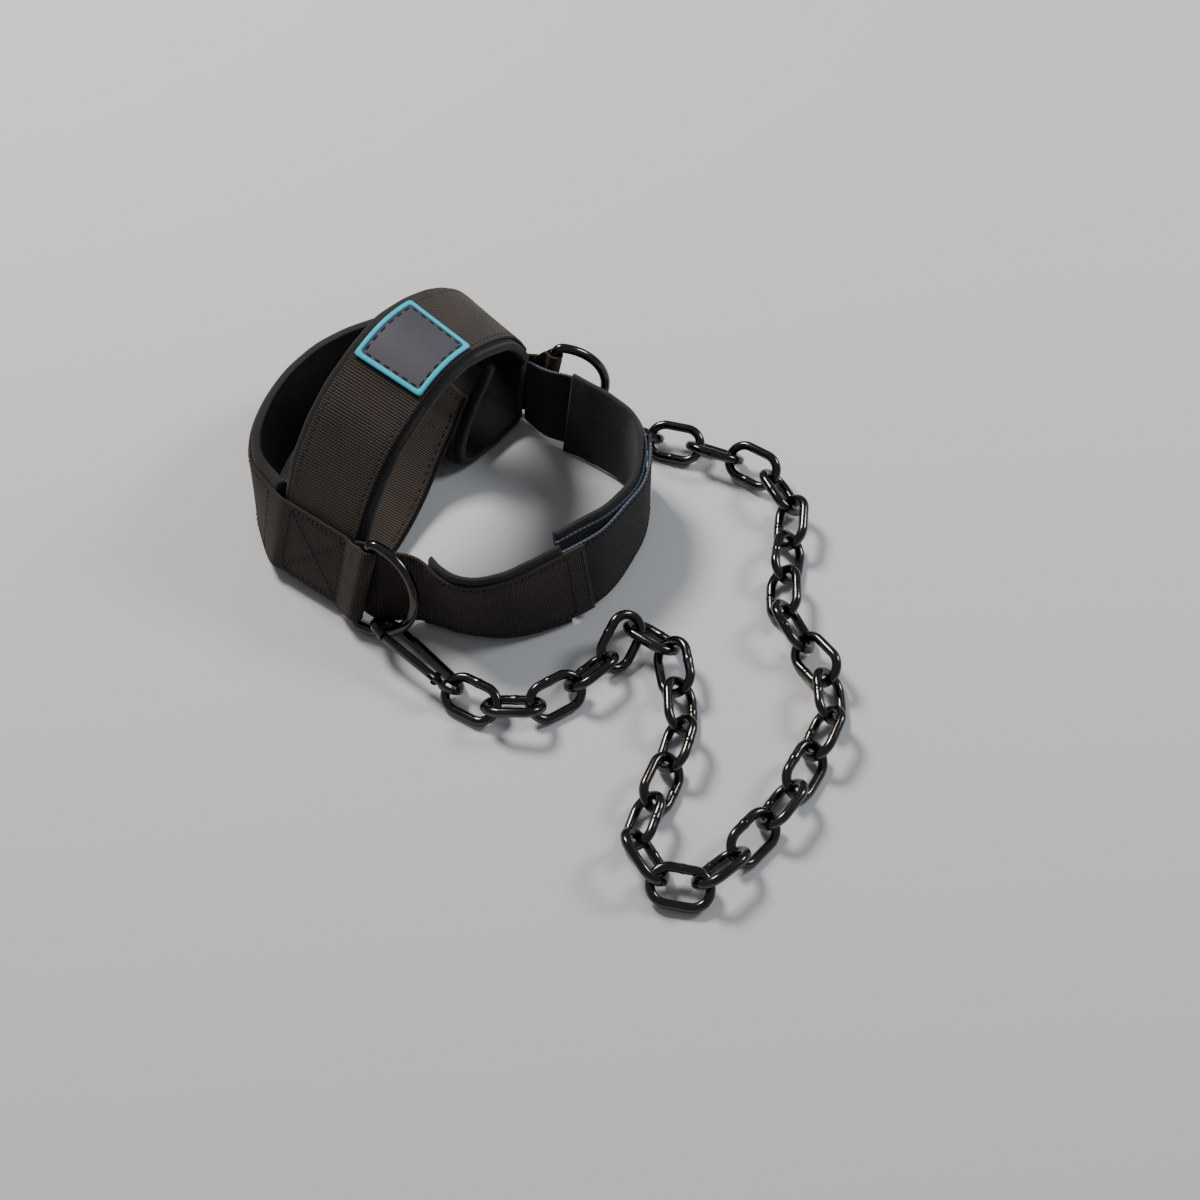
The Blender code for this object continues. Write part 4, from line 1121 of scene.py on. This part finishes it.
def rounded_square(half, corner):
    """Outline of a square with rounded corners."""
    corners = []
    for u, v, start in ((1, 1, 0), (-1, 1, 90), (-1, -1, 180), (1, -1, 270)):
        middle = Vector((u, v)) * (half - corner)
        corners.append(arc(middle, corner, start, start + 90, CORNER_STEPS, Vector((1, 0)), Vector((0, 1))))
    outline = []
    for here, after in zip(corners, corners[1:] + corners[:1]):
        outline += here + divided(here[-1], after[0], PATCH_SIDE_STEPS)[1:-1]
    return outline


def make_patch(middle, half, base):
    """Square rubber patch with a raised border and a stitched inner line."""
    top = base + PATCH_THICK
    profile = rounded(-half, half, base, top, PATCH_ROUNDING)
    strip("patch_rubber", brow, middle - half, middle + half, lambda s: profile, rubber,
          "patch_base", PATCH_STEP)
    rise = top - BORDER_SINK
    rings, coords = [], []
    for u, v in rounded_square(half, PATCH_CORNER):
        ring, at = [], []
        for inset, height in BORDER_SECTION:
            share = 1 - inset / half
            point, _, across, out = brow.frame(middle + u * share)
            ring.append(point + across * (v * share) + out * (rise + height * BORDER_HEIGHT))
            at.append((middle + u * share, v * share, rise))
        rings.append(ring)
        coords.append(at)
    surface("patch_border_raised", rings, cyan, ["patch_border"], coords, loop=True)
    inner = half - BORDER_WIDTH - PATCH_SEAM_INSET
    square = [(middle + u * inner, v * inner) for u, v in ((-1, -1), (1, -1), (1, 1), (-1, 1), (-1, -1))]
    lines = [divided(a, b) for a, b in zip(square, square[1:])]
    stitches("patch_stitching", on_path(brow, top + BOX_LIFT), lines)


def make_rear():
    rear = rear_path(left_joint, right_joint)
    start = FOLD_START + PAD_EDGE + REAR_PAD_LEFT_CLEAR
    end = rear.length - FOLD_START - PAD_EDGE - REAR_PAD_RIGHT_CLEAR
    section = pad_section(*REAR_PAD, PAD_WIDTH, puff_rates=REAR_PUFF)
    pad = strip("rear_pad_foam", rear, start, end, section, rear_foam, "rear_pad")
    make_rear_webbing(rear)
    marks = range(int(start + END_MARGIN), int(end - END_MARGIN), int(ROW_STEP))
    lines = [[(s, w) for s in marks] for w in edge_lines()]
    lines.append(cross_row(start + REAR_ROW_START, 1))
    stitches("rear_stitching", on_path(rear, SURFACE_LIFT - SEAM_DIP / 3), lines)
    make_box_stitch("left", left_joint)
    make_box_stitch("right", right_joint)


def fold_rows(joint, sign, offset, profile):
    """Rings of the webbing's fold round a ring's bar, each point with its strap place."""
    fold = smooth_line([Vector((s, n, 0.0)) for s, n in ring_fold(joint)], FOLD_STEP)
    length = 0.0
    rows = []
    for i, point in enumerate(fold):
        a = fold[max(0, i - 1)]
        b = fold[min(len(fold) - 1, i + 1)]
        length += (point - fold[i - 1]).length if i else 0.0
        across = Vector((-(b - a).y, (b - a).x, 0.0)).normalized()
        row = []
        for w, n in profile:
            place = point + across * n
            row.append((joint.fold_at(place.x, w, place.y), (offset + sign * length, w, n)))
        rows.append(row)
    return rows


def make_rear_webbing(rear):
    """Headband webbing with a fold round the bar of each ring."""
    half = WEB_WIDTH / 2
    profile = rounded(-half, half, -WEB_THICK / 2, WEB_THICK / 2, FOLD_ROUNDING, edge_lines())
    rows = fold_rows(left_joint, -1, 0.0, profile)[::-1]
    count = int(rear.length / FABRIC_STEP)
    for i in range(1, count):
        s = rear.length * i / count
        point, _, across, out = rear.frame(s)
        rows.append([(point + across * w + out * (n - WEB_THICK / 2), (s, w, n)) for w, n in profile])
    rows += fold_rows(right_joint, 1, rear.length, profile)
    surface("rear_webbing_woven", [[p for p, _ in row] for row in rows], web_rib,
            ["rear_webbing"], [[place for _, place in row] for row in rows])


def make_box_stitch(name, joint):
    """Cross-stitched box that holds the straps together at a side joint."""
    inner, outer = BOX_INSET - WEB_WIDTH / 2, WEB_WIDTH / 2 - BOX_INSET
    low, high = edge_lines()
    double = outer - BOX_DOUBLE
    sides = (((inner, low), (inner, high)), ((outer, low), (outer, high)), ((double, low), (double, high)),
             ((inner, low), (outer, low)), ((inner, high), (outer, high)),
             ((inner, low), (outer, high)), ((inner, high), (outer, low)))
    stitches(name + "_box_stitching", on_joint(joint, BOX_LIFT), [divided(a, b) for a, b in sides])


def make_crown():
    limb = brow.marks[LIMB_ROW]
    lift = GAP / 2 + WEB_THICK + FASTENER_GAP + BACKING_THICK
    rows = list(CROWN)
    for reach in (CROWN_LAP_FROM, (CROWN_LAP_FROM + CROWN_LAP_TO) / 2, CROWN_LAP_TO):
        point, _, across, out = brow.frame(limb + reach)
        rows.append((*(point + out * lift), *across))
    crown = Path(rows)
    top = GAP + WEB_THICK
    strip("crown_webbing_woven", crown, 0.0, crown.length, web_section(GAP, top), web_crown,
          "crown_webbing")
    strip("crown_hook_cloth", crown, 0.0, crown.length - BACKING_SHORT,
          web_section(-BACKING_THICK, 0.0, BACKING_SHIFT), crown_twill, "crown_backing")
    tip = crown.length - END_MARGIN
    lines = edge_rows(END_MARGIN, tip, CROWN_ROW_STEP)
    lines += [cross_row(tip, 2), cross_row(tip - CROWN_SEAM_SPACING, 2)]
    stitches("crown_stitching", on_path(crown, top - SEAM_DIP / 2), lines)


def make_closing():
    left_path, right_path = closing_paths(left_joint, right_joint)
    make_closing_left(left_path)
    strip("closing_right_woven", right_path, 0.0, right_path.length, web_section(0.0, WEB_THICK),
          hook_twill, "closing_webbing_right")
    section = pad_section(-GAP - LINING_THICK, -GAP, LINING_WIDTH, LINING_RIGHT_ROUNDING)
    pad = strip("closing_right_foam", right_path, LINING_RIGHT_START,
                right_path.length - LINING_RIGHT_SHORT, section, lining_foam,
                "closing_lining_right")


def make_closing_left(path):
    """Webbing and lining of the left part, with the hook strap sewn under the webbing's end."""
    seam = path.marks[SEAM_ROW + len(STRAP_LEAVES)] - SEAM_BACK
    lap_end = seam + SEAM_LAP
    tip = path.length
    under = -WEB_THICK - GAP
    half = WEB_WIDTH / 2
    strip("closing_left_woven", path, 0.0, lap_end, web_section(-WEB_THICK, 0.0), web_rib,
          "closing_webbing_left")
    section = pad_section(under - LINING_THICK, under, LINING_WIDTH + LINING_PUFF, LINING_LEFT_ROUNDING)
    pad = strip("closing_left_foam", path, LINING_LEFT_START, seam - GAP, section, lining_foam,
                "closing_lining_left")

    def hook_section(s):
        share = max(0.0, (s - tip + HOOK_STRAP_TAPER) / HOOK_STRAP_TAPER)
        upper = half - HOOK_STRAP_DROP * share ** 2
        return rounded(-half, upper, under - WEB_THICK, under, WEB_ROUNDING, edge_lines())

    strip("hook_strap_twill", path, seam, tip, hook_section, hook_twill, "hook_strap")
    lines = edge_rows(CLOSING_ROW_START, lap_end - SEAM_INSET)
    lines += [cross_row(seam + SEAM_INSET, 3), cross_row(lap_end - SEAM_INSET, 3)]
    stitches("closing_left_stitching", on_path(path, SURFACE_LIFT - SEAM_DIP / 3), lines)
    lines = edge_rows(lap_end + HOOK_ROW_START, tip - HOOK_ROW_STOP)
    stitches("hook_strap_stitching", on_path(path, under - SEAM_DIP / 3), lines)


def make_metal():
    for prefix, (line, normal, _) in ends.items():
        ring = smooth_line(line, RING_STEP, loop=True)
        wire(prefix + "_ring_wire", ring, [RING_RADIUS] * len(ring), normal, RING_SIDES, prefix + "_ring")
        for part in ("_hook", "_gate", "_pin"):
            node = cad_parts[prefix + part]
            node.data.materials.clear()
            node.data.materials.append(metal)


def link_wire(chain, link):
    """Centre line of a link, and the wire's radius at each point: it swells at the weld."""
    ca, cb, normal = link
    x = (cb - ca).normalized()
    y = normal.cross(x)
    reach = x * (chain.straight / 2)
    middle = (ca + cb) / 2
    line = arc(middle + reach, chain.crown, -90, 90, LINK_BEND_STEPS, x, y)
    first, last = middle + reach + y * chain.crown, middle - reach + y * chain.crown
    line += [first + (last - first) * i / LINK_SIDE_STEPS for i in range(1, LINK_SIDE_STEPS)]
    weld = len(line) - LINK_SIDE_STEPS // 2
    line += arc(middle - reach, chain.crown, 90, 270, LINK_BEND_STEPS, x, y)
    step = chain.straight / LINK_SIDE_STEPS
    swell = [math.exp(-(((i - weld) * step) / WELD_WIDTH) ** 2) for i in range(len(line))]
    return line, [LINK_WIRE / 2 * (1.0 + WELD_SWELL * share) for share in swell]


def make_chain():
    left_hook, right_hook = ends["left"][2], ends["right"][2]
    chain = Chain(left_hook.seat(), left_hook.x, right_hook.seat(), -right_hook.x)
    for number, link in enumerate(chain.links, 1):
        line, radii = link_wire(chain, link)
        wire(f"link_{number:02d}_wire", line, radii, link[2], LINK_SIDES, f"link_{number:02d}")


def make_stage():
    """Pale floor, round lights that face the harness, and a grey sky."""
    scene = bpy.context.scene
    mesh = bpy.data.meshes.new("floor")
    corners = [(u * FLOOR_HALF, v * FLOOR_HALF, 0) for u, v in ((-1, -1), (1, -1), (1, 1), (-1, 1))]
    mesh.from_pydata(corners, [], [(0, 1, 2, 3)])
    floor = bpy.data.objects.new("floor", mesh)
    scene.collection.objects.link(floor)
    nodes = Nodes("pale_floor", 0.85)
    nodes.set("Base Color", FLOOR_GREY)
    mesh.materials.append(nodes.mat)
    for name, place, size, power, colour in LIGHTS:
        data = bpy.data.lights.new(name, "AREA")
        data.shape = "DISK"
        data.size = size
        data.energy = power
        data.color = colour
        lamp = bpy.data.objects.new(name, data)
        lamp.location = place
        lamp.rotation_euler = (-Vector(place)).to_track_quat("-Z", "Y").to_euler()
        scene.collection.objects.link(lamp)
    scene.world = bpy.data.worlds.new("studio")
    scene.world.use_nodes = True
    sky = scene.world.node_tree.nodes["Background"]
    sky.inputs["Color"].default_value = SKY_GREY
    sky.inputs["Strength"].default_value = SKY_STRENGTH


def make_camera():
    data = bpy.data.cameras.new("camera")
    data.lens = CAMERA_LENS
    data.sensor_width = CAMERA_SENSOR
    camera = bpy.data.objects.new("camera", data)
    camera.location = CAMERA_PLACE * MM + SHIFT
    camera.rotation_euler = (-CAMERA_PLACE).to_track_quat("-Z", "Y").to_euler()
    bpy.context.scene.collection.objects.link(camera)
    bpy.context.scene.camera = camera


make_brow()
make_rear()
make_crown()
make_closing()
make_metal()
make_chain()
make_stage()
make_camera()
